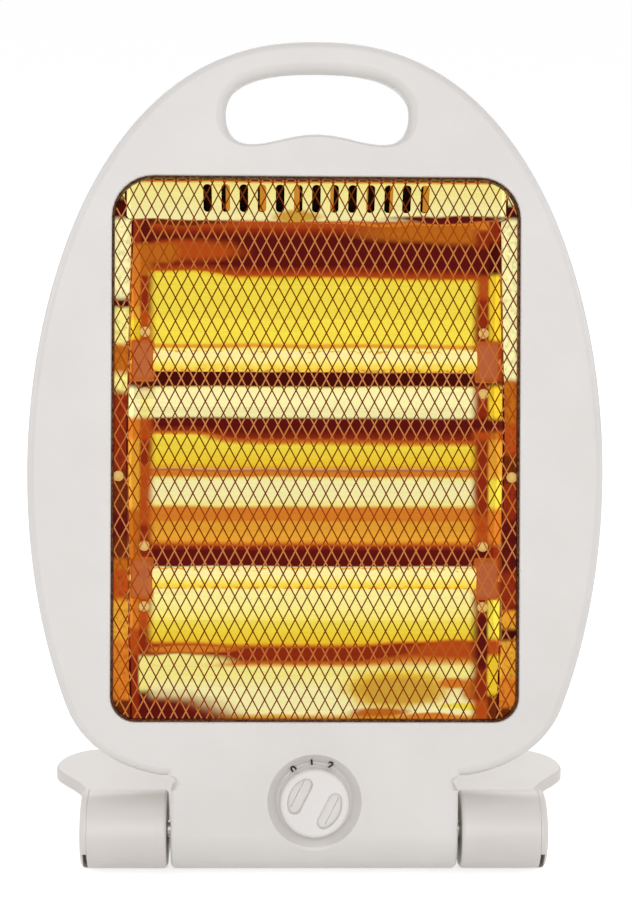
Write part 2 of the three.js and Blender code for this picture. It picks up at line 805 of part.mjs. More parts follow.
function makeKnob() {
  const base = front + dial.depth - knob.footGap;
  const top = front - knob.proud;
  const body = turned([
    [0, base],
    [knob.foot, base],
    [knob.radius, base - knob.footHeight],
    [knob.radius, top + knob.round],
    [knob.radius - knob.round * 0.3, top + knob.round * 0.3],
    [knob.radius - knob.round, top],
    [0, top],
  ], 32);
  const finger = (side) => {
    const path = new THREE.Shape();
    const angle = Math.asin(knob.barHalf / knob.fingerRadius);
    path.absarc(0, 0, knob.fingerRadius, -Math.PI / 2 + angle, Math.PI / 2 - angle);
    path.closePath();
    return plate(path, top - past, top + knob.fingerDepth, 10).rotate([0, side > 0 ? 0 : 180, 0]);
  };
  const socket = rodY(shaft.radius + clearance, base - knob.socket, base + past, 16);
  return cut(body, finger(1), finger(-1), socket);
}

function makeShaft() {
  const start = front + dial.depth - knob.footGap - knob.socket + clearance;
  return rodY(shaft.radius, start, start + shaft.length, 16);
}

function makeRotarySwitch() {
  const { width, height, depth, offset, wall } = rotarySwitch;
  const start = front + dial.depth + dial.wall + clearance;
  const half = [width / 2, height / 2];
  const body = block([-half[0], start, offset - half[1]], [half[0], start + depth, offset + half[1]]);
  return cut(body, rodY(shaft.radius + clearance, start - past, start + depth - wall, 16));
}

function makeCutout() {
  const { radius, height, flange, cap } = cutout;
  return turned([[0, 0], [radius, 0], [radius, flange], [cap, flange], [cap, height], [0, height]], 20);
}

function makeGland() {
  const { bore, neck, flange, flangeHeight, length } = gland;
  return turned([
    [bore, -length],
    [neck, -length],
    [neck, 0],
    [flange, 0],
    [flange - 1, flangeHeight],
    [bore, flangeHeight],
    [bore, -length],
  ], 20);
}

/** The leads' routes on the right, from a filament's tail to the middle of the casing's bottom. */
function leadRoutes() {
  const tail = capEnd + tube.tail + clearance;
  const flangeEnd = opening.halfWidth + dish.flange;
  const upperSide = flangeEnd + lead.upperOut;
  const upper = [
    [tail, tubeY, up(tube.upper)],
    [tail + 4, tubeY, up(tube.upper)],
    [upperSide, tubeY + 3, up(tube.upper) - 11],
    [upperSide, tubeY + 3, up(180)],
    [upperSide, tubeY + 3, up(112)],
    [98, 4, up(84)],
    [82, 1, up(72)],
    [50, 0, up(65)],
    [22, 0, up(61)],
  ];
  const lower = [
    [tail, tubeY, up(tube.lower)],
    [tail + 3, tubeY, up(tube.lower)],
    [tail + 6, tubeY + 2, up(tube.lower) - 4],
    [flangeEnd + lead.lowerOut, tubeY + 4, up(tube.lower) - 14],
    [93, tubeY + 2, up(94)],
    [80, 4, up(78)],
    [50, 3, up(70.5)],
    [24, 3, up(66)],
  ];
  return { upper, lower };
}

/** An insulated lead along a route of points. */
function makeLead(route) {
  const round = new THREE.Path().absarc(0, 0, lead.radius, 0, Math.PI * 2).getPoints(2);
  const section = new THREE.Shape(round.slice(0, -1));
  const points = route.map((point) => new THREE.Vector3(...point));
  const extrudePath = new THREE.CatmullRomCurve3(points, false, "centripetal");
  return solid(new THREE.ExtrudeGeometry(section, { steps: 16, bevelEnabled: false, extrudePath }));
}

// ---------------------------------------------------------------- foot

/** The plate's outline in x and in distance behind the hubs' front. */
function footShape() {
  const { waist, flareStart, flare, flareDepth, cornerHalf, cornerDepth } = foot;
  const { rear, slotDepth, slotRound } = foot;
  const start = hinge.radius;
  const behindHub = 2 * hinge.radius + clearance;
  const hubHalf = hubEnd + clearance + hinge.capLength;
  const shape = new THREE.Shape();
  shape.moveTo(hubStart, start);
  shape.lineTo(hubEnd, start);
  shape.lineTo(hubEnd, behindHub);
  shape.lineTo(hubHalf, behindHub);
  shape.bezierCurveTo(hubHalf, behindHub + 10, waist, flareStart - 20, waist + 3, flareStart);
  shape.bezierCurveTo(waist + 6, flareStart + 16, flare, flareDepth - 10, flare, flareDepth);
  shape.bezierCurveTo(flare, flareDepth + 12, cornerHalf + 9, cornerDepth - 2, cornerHalf, cornerDepth);
  shape.bezierCurveTo(cornerHalf / 2, rear, cornerHalf / 5, rear, 0, rear);
  shape.bezierCurveTo(-cornerHalf / 5, rear, -cornerHalf / 2, rear, -cornerHalf, cornerDepth);
  shape.bezierCurveTo(-cornerHalf - 9, cornerDepth - 2, -flare, flareDepth + 12, -flare, flareDepth);
  shape.bezierCurveTo(-flare, flareDepth - 10, -waist - 6, flareStart + 16, -waist - 3, flareStart);
  shape.bezierCurveTo(-waist, flareStart - 20, -hubHalf, behindHub + 10, -hubHalf, behindHub);
  shape.lineTo(-hubEnd, behindHub);
  shape.lineTo(-hubEnd, start);
  shape.lineTo(-hubStart, start);
  shape.lineTo(-hubStart, slotDepth - slotRound);
  shape.absarc(-hubStart + slotRound, slotDepth - slotRound, slotRound, Math.PI, Math.PI / 2, true);
  shape.absarc(hubStart - slotRound, slotDepth - slotRound, slotRound, Math.PI / 2, 0, true);
  return shape;
}

const padPlaces = [
  { name: "front_left", x: -pad.frontHalf, depth: pad.frontDepth },
  { name: "front_right", x: pad.frontHalf, depth: pad.frontDepth },
  { name: "rear_left", x: -pad.rearHalf, depth: pad.rearDepth },
  { name: "rear_right", x: pad.rearHalf, depth: pad.rearDepth },
];

/** An upright disc, for pads and their sockets. */
const discZ = (radius, low, high, sides = 14) => rodY(radius, low, high, sides).rotate([90, 0, 0]);

/** The foot, with its hubs on the hinge axis: a hollow plate that rises into two hubs. */
function makeFoot() {
  const bottom = -hinge.radius;
  const top = bottom + foot.height;
  const points = footShape().getPoints(5).map((point) => new THREE.Vector2(point.x, point.y + bottom));
  const outline = THREE.ShapeUtils.area(points) > 0 ? points : points.reverse();
  const whole = slab(new THREE.Shape(outline), bottom, top);
  const pocket = slab(new THREE.Shape(inset(outline, foot.skin)), bottom - past, top - foot.skin);
  const hubs = [-1, 1].map((side) => rodX(hinge.radius, side * hubStart, side * hubEnd, 28));
  const hollows = [-1, 1].map((side) =>
    rodX(hinge.radius - hinge.hubWall, side * (hubStart + hinge.hubWall), side * (hubEnd + past), 20),
  );
  const pinHole = [-1, 1].map((side) =>
    rodX(pin.radius + clearance, side * (hubStart - past), side * (hubStart + hinge.hubWall + past), 20),
  );
  const seats = padPlaces.map(({ x, depth }) =>
    discZ(pad.radius + foot.skin, bottom, top - past / 2).translate([x, depth + bottom, 0]),
  );
  const sockets = padPlaces.map(({ x, depth }) =>
    discZ(pad.radius + clearance, bottom - past, bottom + pad.height - pad.proud + clearance)
      .translate([x, depth + bottom, 0]),
  );
  const rib = block(
    [-foot.rib / 2, foot.slotDepth + bottom + past, bottom],
    [foot.rib / 2, foot.rear + bottom - past, top - past],
  );
  return cut(join(cut(whole, pocket), rib, ...hubs, ...seats), ...hollows, ...pinHole, ...sockets);
}

/** A hub's end cap with its rounded edge and the notch for prying it off. */
function makeHubCap(side) {
  const { radius, capLength, capRound, hubWall } = hinge;
  const inner = hubEnd + clearance;
  const spigot = radius - hubWall - clearance;
  const body = turned([
    [0, inner - 4],
    [spigot, inner - 4],
    [spigot, inner],
    [radius, inner],
    [radius, inner + capLength - capRound],
    [radius - capRound * 0.3, inner + capLength - capRound * 0.3],
    [radius - capRound, inner + capLength],
    [0, inner + capLength],
  ], 28);
  const { width, inward, outward, drop } = capNotch;
  const notch = block(
    [radius - inward, inner - past, -drop - width / 2],
    [radius - outward, inner + capLength + past, -drop + width / 2],
  );
  const placed = cut(body, notch).rotate([0, 0, -90]);
  return side > 0 ? placed : placed.mirror([1, 0, 0]);
}

/** The pin that carries the barrel in one hub, its head inside the hub. */
function makePin(side) {
  const seat = hubStart + hinge.hubWall + spring.thick + spring.dish + 2 * clearance;
  const end = barrelHalf - pin.inBarrel;
  const body = turned([
    [0, end],
    [pin.radius, end],
    [pin.radius, seat],
    [pin.head, seat],
    [pin.head, seat + pin.headHeight],
    [0, seat + pin.headHeight],
  ], 20).rotate([0, 0, -90]);
  return side > 0 ? body : body.mirror([1, 0, 0]);
}

/** A dished spring washer that gives the hinge its friction. */
function makeSpring(side) {
  const start = hubStart + hinge.hubWall + clearance;
  const bore = pin.radius + clearance;
  const body = turned([
    [bore, start + spring.dish],
    [spring.radius, start],
    [spring.radius, start + spring.thick],
    [bore, start + spring.dish + spring.thick],
    [bore, start + spring.dish],
  ], 24).rotate([0, 0, -90]);
  return side > 0 ? body : body.mirror([1, 0, 0]);
}

// ---------------------------------------------------------------- assembly

const finishes = {
  casing: { color: 0xe2e0da, roughness: 0.45, metalness: 0 },
  foot: { color: 0xdcd8d2, roughness: 0.45, metalness: 0 },
  knob: { color: 0xe4e2dd, roughness: 0.4, metalness: 0 },
  rubber: { color: 0x3a3a3a, roughness: 0.9, metalness: 0 },
  steel: { color: 0xb9b9b6, roughness: 0.35, metalness: 1 },
  net: { color: 0xd8c4b4, roughness: 0.3, metalness: 1 },
  reflector: { color: 0xf0b24a, roughness: 0.18, metalness: 1 },
  quartz: { color: 0xfff0d0, roughness: 0.1, metalness: 0 },
  filament: { color: 0xff9a3c, roughness: 0.6, metalness: 1 },
  ceramic: { color: 0xd98c4a, roughness: 0.7, metalness: 0 },
  bakelite: { color: 0x2a2624, roughness: 0.6, metalness: 0 },
  lead: { color: 0xc8c2b4, roughness: 0.7, metalness: 0 },
};

/** Puts a solid into a group as a named mesh with its own material. */
function add(group, name, body, finish, place = [0, 0, 0]) {
  const mesh = new THREE.Mesh(skin(body), new THREE.MeshStandardMaterial(finishes[finish]));
  mesh.name = name;
  mesh.position.set(...place);
  group.add(mesh);
}

function addStand(group) {
  add(group, "foot", makeFoot(), "foot");
  for (const [name, side] of [["left", -1], ["right", 1]]) {
    add(group, `hub_cap_${name}`, makeHubCap(side), "foot");
    add(group, `pivot_pin_${name}`, makePin(side), "steel");
    add(group, `friction_spring_${name}`, makeSpring(side), "steel");
  }
  const bottom = -hinge.radius - pad.proud;
  for (const { name, x, depth } of padPlaces) {
    const disc = discZ(pad.radius, bottom, bottom + pad.height);
    add(group, `pad_${name}`, disc, "rubber", [x, depth - hinge.radius, 0]);
  }
}

function addTubes(group) {
  for (const [name, height] of [["upper", tube.upper], ["lower", tube.lower]]) {
    add(group, `quartz_tube_${name}`, makeTube(), "quartz", [0, tubeY, up(height)]);
    add(group, `filament_${name}`, makeFilament(), "filament", [0, tubeY, up(height)]);
  }
  const screwDepth = dishFront + dish.troughDepth - bracket.sheet - 2 * clearance;
  for (const { name, side, height } of tubeEnds) {
    add(group, `end_cap_${name}`, makeEndCap(side), "ceramic", [0, tubeY, up(height)]);
    add(group, `tube_bracket_${name}`, makeBracket(side), "steel", [0, tubeY, up(height)]);
    const x = side * (capStart + endCap.length / 2);
    for (const [where, way] of [["top", 1], ["bottom", -1]]) {
      const place = [x, screwDepth, up(height) + way * bracket.screwOffset];
      add(group, `bracket_screw_${name}_${where}`, makeScrew(smallScrew), "steel", place);
    }
  }
}

function addElectrics(group) {
  add(group, "rotary_switch", makeRotarySwitch(), "bakelite", [0, 0, up(dial.height)]);
  const shelf = up(casing.underside) + casing.wall + clearance;
  const boxes = [["terminal_block", terminalBlock, "ceramic"], ["tilt_switch", tiltSwitch, "bakelite"]];
  for (const [name, { width, height, depth, x }, finish] of boxes) {
    const body = block([-width / 2, -depth / 2, 0], [width / 2, depth / 2, height]);
    add(group, name, body, finish, [x, front + casing.wall + clearance + depth / 2, shelf]);
  }
  const crease = up((tube.upper + tube.lower) / 2);
  const rise = ((dish.creaseFoot - dish.creaseDepth) * cutout.radius) / dish.creaseHalf;
  const behind = dishFront + dish.creaseDepth + rise + dish.sheet * 1.5 + clearance;
  add(group, "thermal_cutout", makeCutout(), "bakelite", [0, behind, crease]);
  const exit = split + gland.seat + clearance;
  add(group, "cord_gland", makeGland(), "bakelite", [gland.half, exit, up(gland.height)]);
}

function addLeads(group) {
  const { upper, lower } = leadRoutes();
  const middle = (front + split) / 2;
  const switchTop = up(dial.height) + rotarySwitch.offset + rotarySwitch.height / 2 + clearance;
  const blockTop = up(casing.underside) + casing.wall + terminalBlock.height + 2 * clearance;
  const down = (x, y, end) => [[x, y, end + lead.drop], [x, y, end]];
  const toSwitch = (x) => down(x, middle + 3, switchTop);
  const toBlock = (x) => down(-x, middle + 1, blockTop);
  const mirror = (route) => route.map(([x, y, z]) => [-x, y, z]);
  const upperLeft = mirror([...upper.slice(0, -2), ...toBlock(terminalBlock.x - lead.apart)]);
  const lowerLeft = mirror([...lower.slice(0, -2), ...toBlock(terminalBlock.x + lead.apart)]);
  add(group, "lead_upper_right", makeLead([...upper, ...toSwitch(lead.switchApart)]), "lead");
  add(group, "lead_lower_right", makeLead([...lower, ...toSwitch(0)]), "lead");
  add(group, "lead_upper_left", makeLead(upperLeft), "lead");
  add(group, "lead_lower_left", makeLead(lowerLeft), "lead");
}

function addScrews(group) {
  for (const { name, x, z } of screwPlaces) {
    const screw = makeScrew(casingScrew).rotate([0, 0, 180]);
    add(group, `casing_screw_${name}`, screw, "steel", [x, split + casingScrew.seat + clearance, z]);
  }
  for (const [name, side] of [["left", -1], ["right", 1]]) {
    const place = [side * dishScrewHalf, dishFront - clearance, up(dishScrew.height)];
    add(group, `reflector_screw_${name}`, makeScrew(smallScrew), "steel", place);
  }
}

function addHeater(group) {
  add(group, "front_casing", makeFrontCasing(), "casing");
  add(group, "rear_cover", makeRearCover(), "casing");
  add(group, "guard_net", makeNet(), "net");
  add(group, "reflector", makeReflector(), "reflector");
  addTubes(group);
  addElectrics(group);
  addLeads(group);
  addScrews(group);
  const turning = new THREE.Group();
  turning.position.set(0, 0, up(dial.height));
  turning.rotation.y = THREE.MathUtils.degToRad(knob.pointsAt);
  add(turning, "knob", makeKnob(), "knob");
  add(turning, "switch_shaft", makeShaft(), "steel");
  group.add(turning);
}

const heater = new THREE.Group();
const onAxis = new THREE.Group();
onAxis.position.z = hinge.radius + pad.proud;
heater.add(onAxis);
addStand(onAxis);

const tilting = new THREE.Group();
tilting.rotation.x = -THREE.MathUtils.degToRad(lean);
onAxis.add(tilting);
addHeater(tilting);

// The origin lies on the floor, below the middle of the whole heater.
const bounds = new THREE.Box3().setFromObject(heater, true);
onAxis.position.y = -(bounds.min.y + bounds.max.y) / 2;

export default heater;
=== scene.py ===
"""A lit quartz heater on its tilting foot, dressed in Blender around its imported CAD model.

The casing's pieces are drawn in millimetres in the casing's own frame: its origin lies on the hinge
axis, +Z runs up the casing and the front faces -Y. The foot's pieces use the same frame without the
casing's lean. Heights are counted from a line just above the bottom of the hinge barrel, and up() turns
a height into z. Every finish is painted in those millimetres, so it stays with its piece in every pose.
"""

import json
import logging
import math
from dataclasses import dataclass
from enum import Enum
from typing import Any, Iterable, Sequence

import bmesh
import bpy
from mathutils import Matrix, Vector


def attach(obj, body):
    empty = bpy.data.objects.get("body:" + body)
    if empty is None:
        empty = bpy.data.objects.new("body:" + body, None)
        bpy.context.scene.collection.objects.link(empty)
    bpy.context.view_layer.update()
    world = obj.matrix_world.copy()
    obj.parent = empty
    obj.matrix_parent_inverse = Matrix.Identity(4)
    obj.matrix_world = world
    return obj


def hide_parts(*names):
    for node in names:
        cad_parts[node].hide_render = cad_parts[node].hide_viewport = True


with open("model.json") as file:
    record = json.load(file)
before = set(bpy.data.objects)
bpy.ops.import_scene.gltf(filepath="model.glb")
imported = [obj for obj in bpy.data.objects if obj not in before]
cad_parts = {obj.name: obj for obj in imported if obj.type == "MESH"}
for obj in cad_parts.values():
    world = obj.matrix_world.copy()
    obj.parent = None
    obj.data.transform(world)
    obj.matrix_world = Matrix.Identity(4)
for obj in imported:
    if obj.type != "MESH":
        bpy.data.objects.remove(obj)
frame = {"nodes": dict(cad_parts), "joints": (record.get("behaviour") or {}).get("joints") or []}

log = logging.getLogger("heater")

MM = 0.001  # metres in a millimetre
PAST = 1.0  # how far a cutting tool runs past the face that it opens

Point = tuple[float, float]
Outline = list[Point]
Ring = list[tuple[float, float, float]]


class Body(Enum):
    """The CAD bodies that a piece can ride on."""

    STAND = "stand"
    HEATER = "heater_body"
    KNOB = "knob"


class Slot(Enum):
    """The record's material slots that pieces take."""

    CASING = "casing"
    FOOT = "foot"
    KNOB = "knob"
    RUBBER = "rubber"
    STEEL = "steel"
    GUARD = "guard"
    REFLECTOR = "reflector"
    QUARTZ = "quartz"
    CERAMIC = "ceramic"
    BAKELITE = "bakelite"


class Side(Enum):
    """The heater's two sides, as one looks at its front."""

    LEFT = -1
    RIGHT = 1

    @property
    def word(self) -> str:
        """The side's name as it stands in node names."""
        return self.name.lower()


# ------------------------------------------------------------------ places that pieces share


@dataclass(frozen=True)
class Layout:
    """Sizes in millimetres that several sub-assemblies share; depths run along +Y."""

    radius: float = 18.0  # of the hinge barrel and the hubs
    drop: float = 1.4  # how far the barrel hangs below the heights' zero
    barrel_half: float = 65.8
    hub_start: float = 67.7
    hub_end: float = 104.1
    clearance: float = 0.3
    front: float = -18.0
    split: float = 2.0  # where the two shells meet
    net_front: float = -10.7
    dish_front: float = -9.4
    tube_depth: float = 5.6
    upper_tube: float = 234.3
    lower_tube: float = 132.7
    pin_radius: float = 4.0
    window_half: float = 93.5
    window_top: float = 317.9
    window_bottom: float = 68.3
    flange_screw: Point = (90.6, 180.5)  # across and up
    trough_depth: float = 31.0  # of the reflector, behind its flange
    bracket_screw: float = 14.4  # how far above and below a tube
    dial_height: float = 32.2
    dial_mouth: float = 21.2
    dial_floor: float = 17.4
    dial_depth: float = 5.0
    gland_half: float = 58.0
    gland_height: float = 72.0
    gland_neck: float = 5.8
    gland_flange: float = 8.5
    gland_seat: float = 14.0  # behind the split

    def up(self, height: float) -> float:
        """A height as z."""
        return height - self.radius + self.drop


LAYOUT = Layout()
up = LAYOUT.up


def joint_named(name: str) -> dict[str, Any]:
    """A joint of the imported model."""
    return next(joint for joint in frame["joints"] if joint["name"] == name)


def hinge_place() -> Matrix:
    """The foot's frame: the hinge axis in the row frame, in metres."""
    return Matrix.Translation(Vector(joint_named("body_tilt")["pos_m"]))


def casing_place() -> Matrix:
    """The casing's frame, which leans back as the knob's axis says."""
    _, y, z = joint_named("knob_turn")["axis"]
    lean = math.atan2(z, -y)
    return hinge_place() @ Matrix.Rotation(-lean, 4, "X")


# ------------------------------------------------------------------ outlines, as points in x and z


def bezier(a: Point, b: Point, c: Point, d: Point, steps: int) -> Outline:
    """Points of a cubic curve.

    Args:
        a: Its start.
        b: Its first handle.
        c: Its second handle.
        d: Its end.
        steps: How many steps the curve takes.

    Returns:
        The curve's points, both ends included.
    """
    points = []
    for step in range(steps + 1):
        t = step / steps
        weights = ((1 - t) ** 3, 3 * t * (1 - t) ** 2, 3 * t * t * (1 - t), t**3)
        points.append(tuple(sum(w * p[k] for w, p in zip(weights, (a, b, c, d))) for k in (0, 1)))
    return points


def arc(centre: Point, radius: float, start: float, end: float, steps: int) -> Outline:
    """Points of a circle's arc.

    Args:
        centre: The circle's centre.
        radius: The circle's radius.
        start: The first angle, in degrees from +x.
        end: The last angle.
        steps: How many steps the arc takes.

    Returns:
        The arc's points, both ends included.
    """
    angles = [math.radians(start + (end - start) * step / steps) for step in range(steps + 1)]
    return [(centre[0] + radius * math.cos(a), centre[1] + radius * math.sin(a)) for a in angles]


def mirrored(right_half: Outline) -> Outline:
    """An outline's right half, from bottom to top, followed by its mirrored left half."""
    whole = right_half + [(-x, z) for x, z in reversed(right_half)]
    return [p for i, p in enumerate(whole) if math.dist(p, whole[i - 1]) > 1e-3]


def inset(outline: Outline, distance: float) -> Outline:
    """Moves an anticlockwise outline inward along its own normals."""
    moved = []
    for i, (x, z) in enumerate(outline):
        before, after = outline[i - 1], outline[(i + 1) % len(outline)]
        length = math.dist(before, after)
        along = ((after[0] - before[0]) / length, (after[1] - before[1]) / length)
        moved.append((x - along[1] * distance, z + along[0] * distance))
    return moved


def quarter(steps: int) -> list[Point]:
    """Shares of a rounded edge still to go, across and in depth, from its face round to its side."""
    angles = [math.radians(90 * step / steps) for step in range(steps + 1)]
    return [(1 - math.sin(angle), 1 - math.cos(angle)) for angle in angles]


def ring_at(outline: Outline, depth: float) -> Ring:
    """An outline as a ring at one depth."""
    return [(x, depth, z) for x, z in outline]


def rounded_rectangle(half: float, low: float, high: float, radii: Point, steps: int = 8) -> Outline:
    """A rectangle about x = 0 with its own corner radius below and above.

    Args:
        half: Half its width.
        low: Its lowest z.
        high: Its highest z.
        radii: The radii of its low and high corners.
        steps: Steps in each corner.

    Returns:
        Its outline, anticlockwise.
    """
    below, above = radii
    corners = arc((half - below, low + below), below, -90, 0, steps)
    corners += arc((half - above, high - above), above, 0, 90, steps)
    return mirrored([(0.0, low), *corners, (0.0, high)])


# ------------------------------------------------------------------ solids


def linked(name: str, data: bpy.types.ID) -> bpy.types.Object:
    """A new object in the scene."""
    obj = bpy.data.objects.new(name, data)
    bpy.context.scene.collection.objects.link(obj)
    return obj


class Solid:
    """A closed mesh, drawn in millimetres, that can be joined to others and cut by them."""

    def __init__(self, vertices: Sequence[Sequence[float]], faces: Sequence[Sequence[int]]) -> None:
        """Makes the mesh, welds its shared corners and turns its faces outward."""
        mesh = bpy.data.meshes.new("solid")
        mesh.from_pydata([tuple(v) for v in vertices], [], [tuple(f) for f in faces])
        work = bmesh.new()
        work.from_mesh(mesh)
        bmesh.ops.remove_doubles(work, verts=work.verts, dist=1e-5)
        bmesh.ops.recalc_face_normals(work, faces=work.faces)
        work.to_mesh(mesh)
        work.free()
        self.obj = linked("solid", mesh)

    def _combine(self, operation: str, others: Iterable["Solid"]) -> "Solid":
        """Applies one boolean step with each of the others, which are used up."""
        used = list(others)
        for other in used:
            step = self.obj.modifiers.new("step", "BOOLEAN")
            step.operation = operation
            step.solver = "MANIFOLD"
            step.object = other.obj
        seen = self.obj.evaluated_get(bpy.context.evaluated_depsgraph_get())
        mesh = bpy.data.meshes.new_from_object(seen)
        self.obj.modifiers.clear()
        self.obj.data = mesh
        for other in used:
            bpy.data.objects.remove(other.obj)
        return self

    def join(self, *others: "Solid") -> "Solid":
        """Adds the others to this solid."""
        return self._combine("UNION", others)

    def cut(self, *tools: "Solid") -> "Solid":
        """Takes the tools out of this solid."""
        return self._combine("DIFFERENCE", tools)

    def keep(self, *tools: "Solid") -> "Solid":
        """Keeps what lies inside every tool."""
        return self._combine("INTERSECT", tools)

    def move(self, x: float = 0.0, y: float = 0.0, z: float = 0.0) -> "Solid":
        """Moves the solid."""
        self.obj.data.transform(Matrix.Translation((x, y, z)))
        return self

    def turn(self, degrees: float, axis: str) -> "Solid":
        """Turns the solid about an axis through the origin."""
        self.obj.data.transform(Matrix.Rotation(math.radians(degrees), 4, axis))
        return self

    def mirror(self) -> "Solid":
        """Mirrors the solid from right to left."""
        self.obj.data.transform(Matrix.Scale(-1, 4, (1, 0, 0)))
        self.obj.data.flip_normals()
        return self

    def for_side(self, side: Side) -> "Solid":
        """This solid, drawn for the right, as it is on a side."""
        return self if side is Side.RIGHT else self.mirror()

    def with_parts(self, *others: "Solid") -> "Solid":
        """Puts solids that don't touch this one into the same mesh, without a boolean step."""
        work = bmesh.new()
        work.from_mesh(self.obj.data)
        for other in others:
            work.from_mesh(other.obj.data)
            bpy.data.objects.remove(other.obj)
        work.to_mesh(self.obj.data)
        work.free()
        return self


def loft(rings: Sequence[Ring], bowed: bool = False, closed: bool = False) -> Solid:
    """Skins rings of equal count.

    Args:
        rings: The rings, in order.
        bowed: Caps the last ring, of a mirrored outline, in level rows.
        closed: Joins the last ring to the first, without caps.

    Returns:
        The solid.
    """
    count = len(rings[0])
    vertices = [point for ring in rings for point in ring]
    faces: list[tuple[int, ...]] = []
    for r in range(len(rings) - (0 if closed else 1)):
        near, far = r * count, ((r + 1) % len(rings)) * count
        for i in range(count):
            j = (i + 1) % count
            faces.append((near + i, near + j, far + j, far + i))
    if not closed:
        faces.append(tuple(range(count)))
        last = (len(rings) - 1) * count
        if bowed:
            for i in range(count // 2):
                row = (last + i, last + i + 1, last + count - 2 - i, last + count - 1 - i)
                faces.append(tuple(dict.fromkeys(row)))
        else:
            faces.append(tuple(range(last, last + count)))
    return Solid(vertices, [face for face in faces if len(face) > 2])


def prism(outline: Outline, near: float, far: float) -> Solid:
    """A straight solid over an outline, between two depths."""
    return loft([ring_at(outline, near), ring_at(outline, far)])


def block(low: Sequence[float], high: Sequence[float]) -> Solid:
    """A box between two corners."""
    outline = [(low[0], low[2]), (high[0], low[2]), (high[0], high[2]), (low[0], high[2])]
    return prism(outline, low[1], high[1])


def turned(profile: Sequence[Point], sides: int = 64, hollow: bool = False) -> Solid:
    """A turned piece about y.

    Args:
        profile: Pairs of radius and depth; a hollow one closes on itself.
        sides: How many sides the round has.
        hollow: Whether the profile runs round a bore instead of starting and ending on the axis.

    Returns:
        The solid.
    """
    angles = [math.tau * i / sides for i in range(sides)]
    rings = [[(r * math.cos(a), y, r * math.sin(a)) for a in angles] for r, y in profile if r > 1e-6]
    return loft(rings, closed=hollow)


def rod(radius: float, near: float, far: float, sides: int = 24) -> Solid:
    """A plain rod along y between two depths."""
    return turned([(radius, near), (radius, far)], sides)


def drum(radius: float, near: float, far: float, rounding: Point, counts: tuple[int, int]) -> Solid:
    """A rod along y with rounded ends.

    Args:
        radius: The rod's radius.
        near: The depth of its first end.
        far: The depth of its other end.
        rounding: How far each end is rounded.
        counts: Steps in each rounding and sides of the rod.

    Returns:
        The solid.
    """
    profile = [(0.0, near), (radius, near), (radius, far), (0.0, far)]
    return turned(softened(profile, (0, *rounding, 0), counts[0]), counts[1])


def cross_slots(reach: float, half: float, near: float, far: float) -> list[Solid]:
    """The tools for the cross in a screw's head.

    Args:
        reach: How far the cross reaches from the middle.
        half: Half the width of its slots.
        near: The depth where the tools begin.
        far: The depth where they end.

    Returns:
        The two tools.
    """
    return [block((-x, near, -z), (x, far, z)) for x, z in ((reach, half), (half, reach))]


def along_x(solid: Solid) -> Solid:
    """Lays a turned piece's axis along x, its depths to the right."""
    return solid.turn(-90, "Z")


def softened(profile: Sequence[Point], radii: Sequence[float], steps: int = 4) -> list[Point]:
    """Rounds the corners of an open profile.

    Args:
        profile: The profile's corners.
        radii: A radius for each corner, 0 where it stays sharp.
        steps: Steps in each rounding.

    Returns:
        The profile with its corners rounded.
    """
    points: list[Point] = []
    for i, (corner, radius) in enumerate(zip(profile, radii)):
        if radius <= 0 or i in (0, len(profile) - 1):
            points.append(corner)
            continue
        here = Vector(corner)
        before = (Vector(profile[i - 1]) - here).normalized()
        after = (Vector(profile[i + 1]) - here).normalized()
        half_angle = before.angle(after) / 2
        reach = radius / math.tan(half_angle)
        start, end = here + before * reach, here + after * reach
        centre = here + (before + after).normalized() * (radius / math.sin(half_angle))
        for step in range(steps + 1):
            aim = (start - centre).lerp(end - centre, step / steps).normalized()
            points.append(tuple(centre + aim * radius))
    return points


@dataclass
class Piece:
    """What a finished solid becomes: its name, body, slot and the CAD nodes that it stands for."""

    name: str
    body: Body
    slot: Slot
    finish: bpy.types.Material
    replaces: tuple[str, ...] = ()
    crease: float = 32.0  # degrees above which an edge stays sharp

    def place(self, solid: Solid, where: Matrix) -> None:
        """Puts the solid into the scene as this piece.

        Args:
            solid: The solid, in millimetres.
            where: The frame that it was drawn in.
        """
        obj = solid.obj
        mesh = obj.data
        mesh.transform(where @ Matrix.Scale(MM, 4))
        obj.name = self.name
        mesh.name = self.name
        mesh.shade_smooth()
        mesh.set_sharp_from_angle(angle=math.radians(self.crease))
        normals = obj.modifiers.new("normals", "WEIGHTED_NORMAL")
        normals.keep_sharp = True
        normals.weight = 60
        mesh.materials.clear()
        mesh.materials.append(self.finish)
        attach(obj, self.body.value)
        if self.replaces:
            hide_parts(*self.replaces)
        log.info("%s: %d faces", self.name, len(mesh.polygons))


# ------------------------------------------------------------------ casing


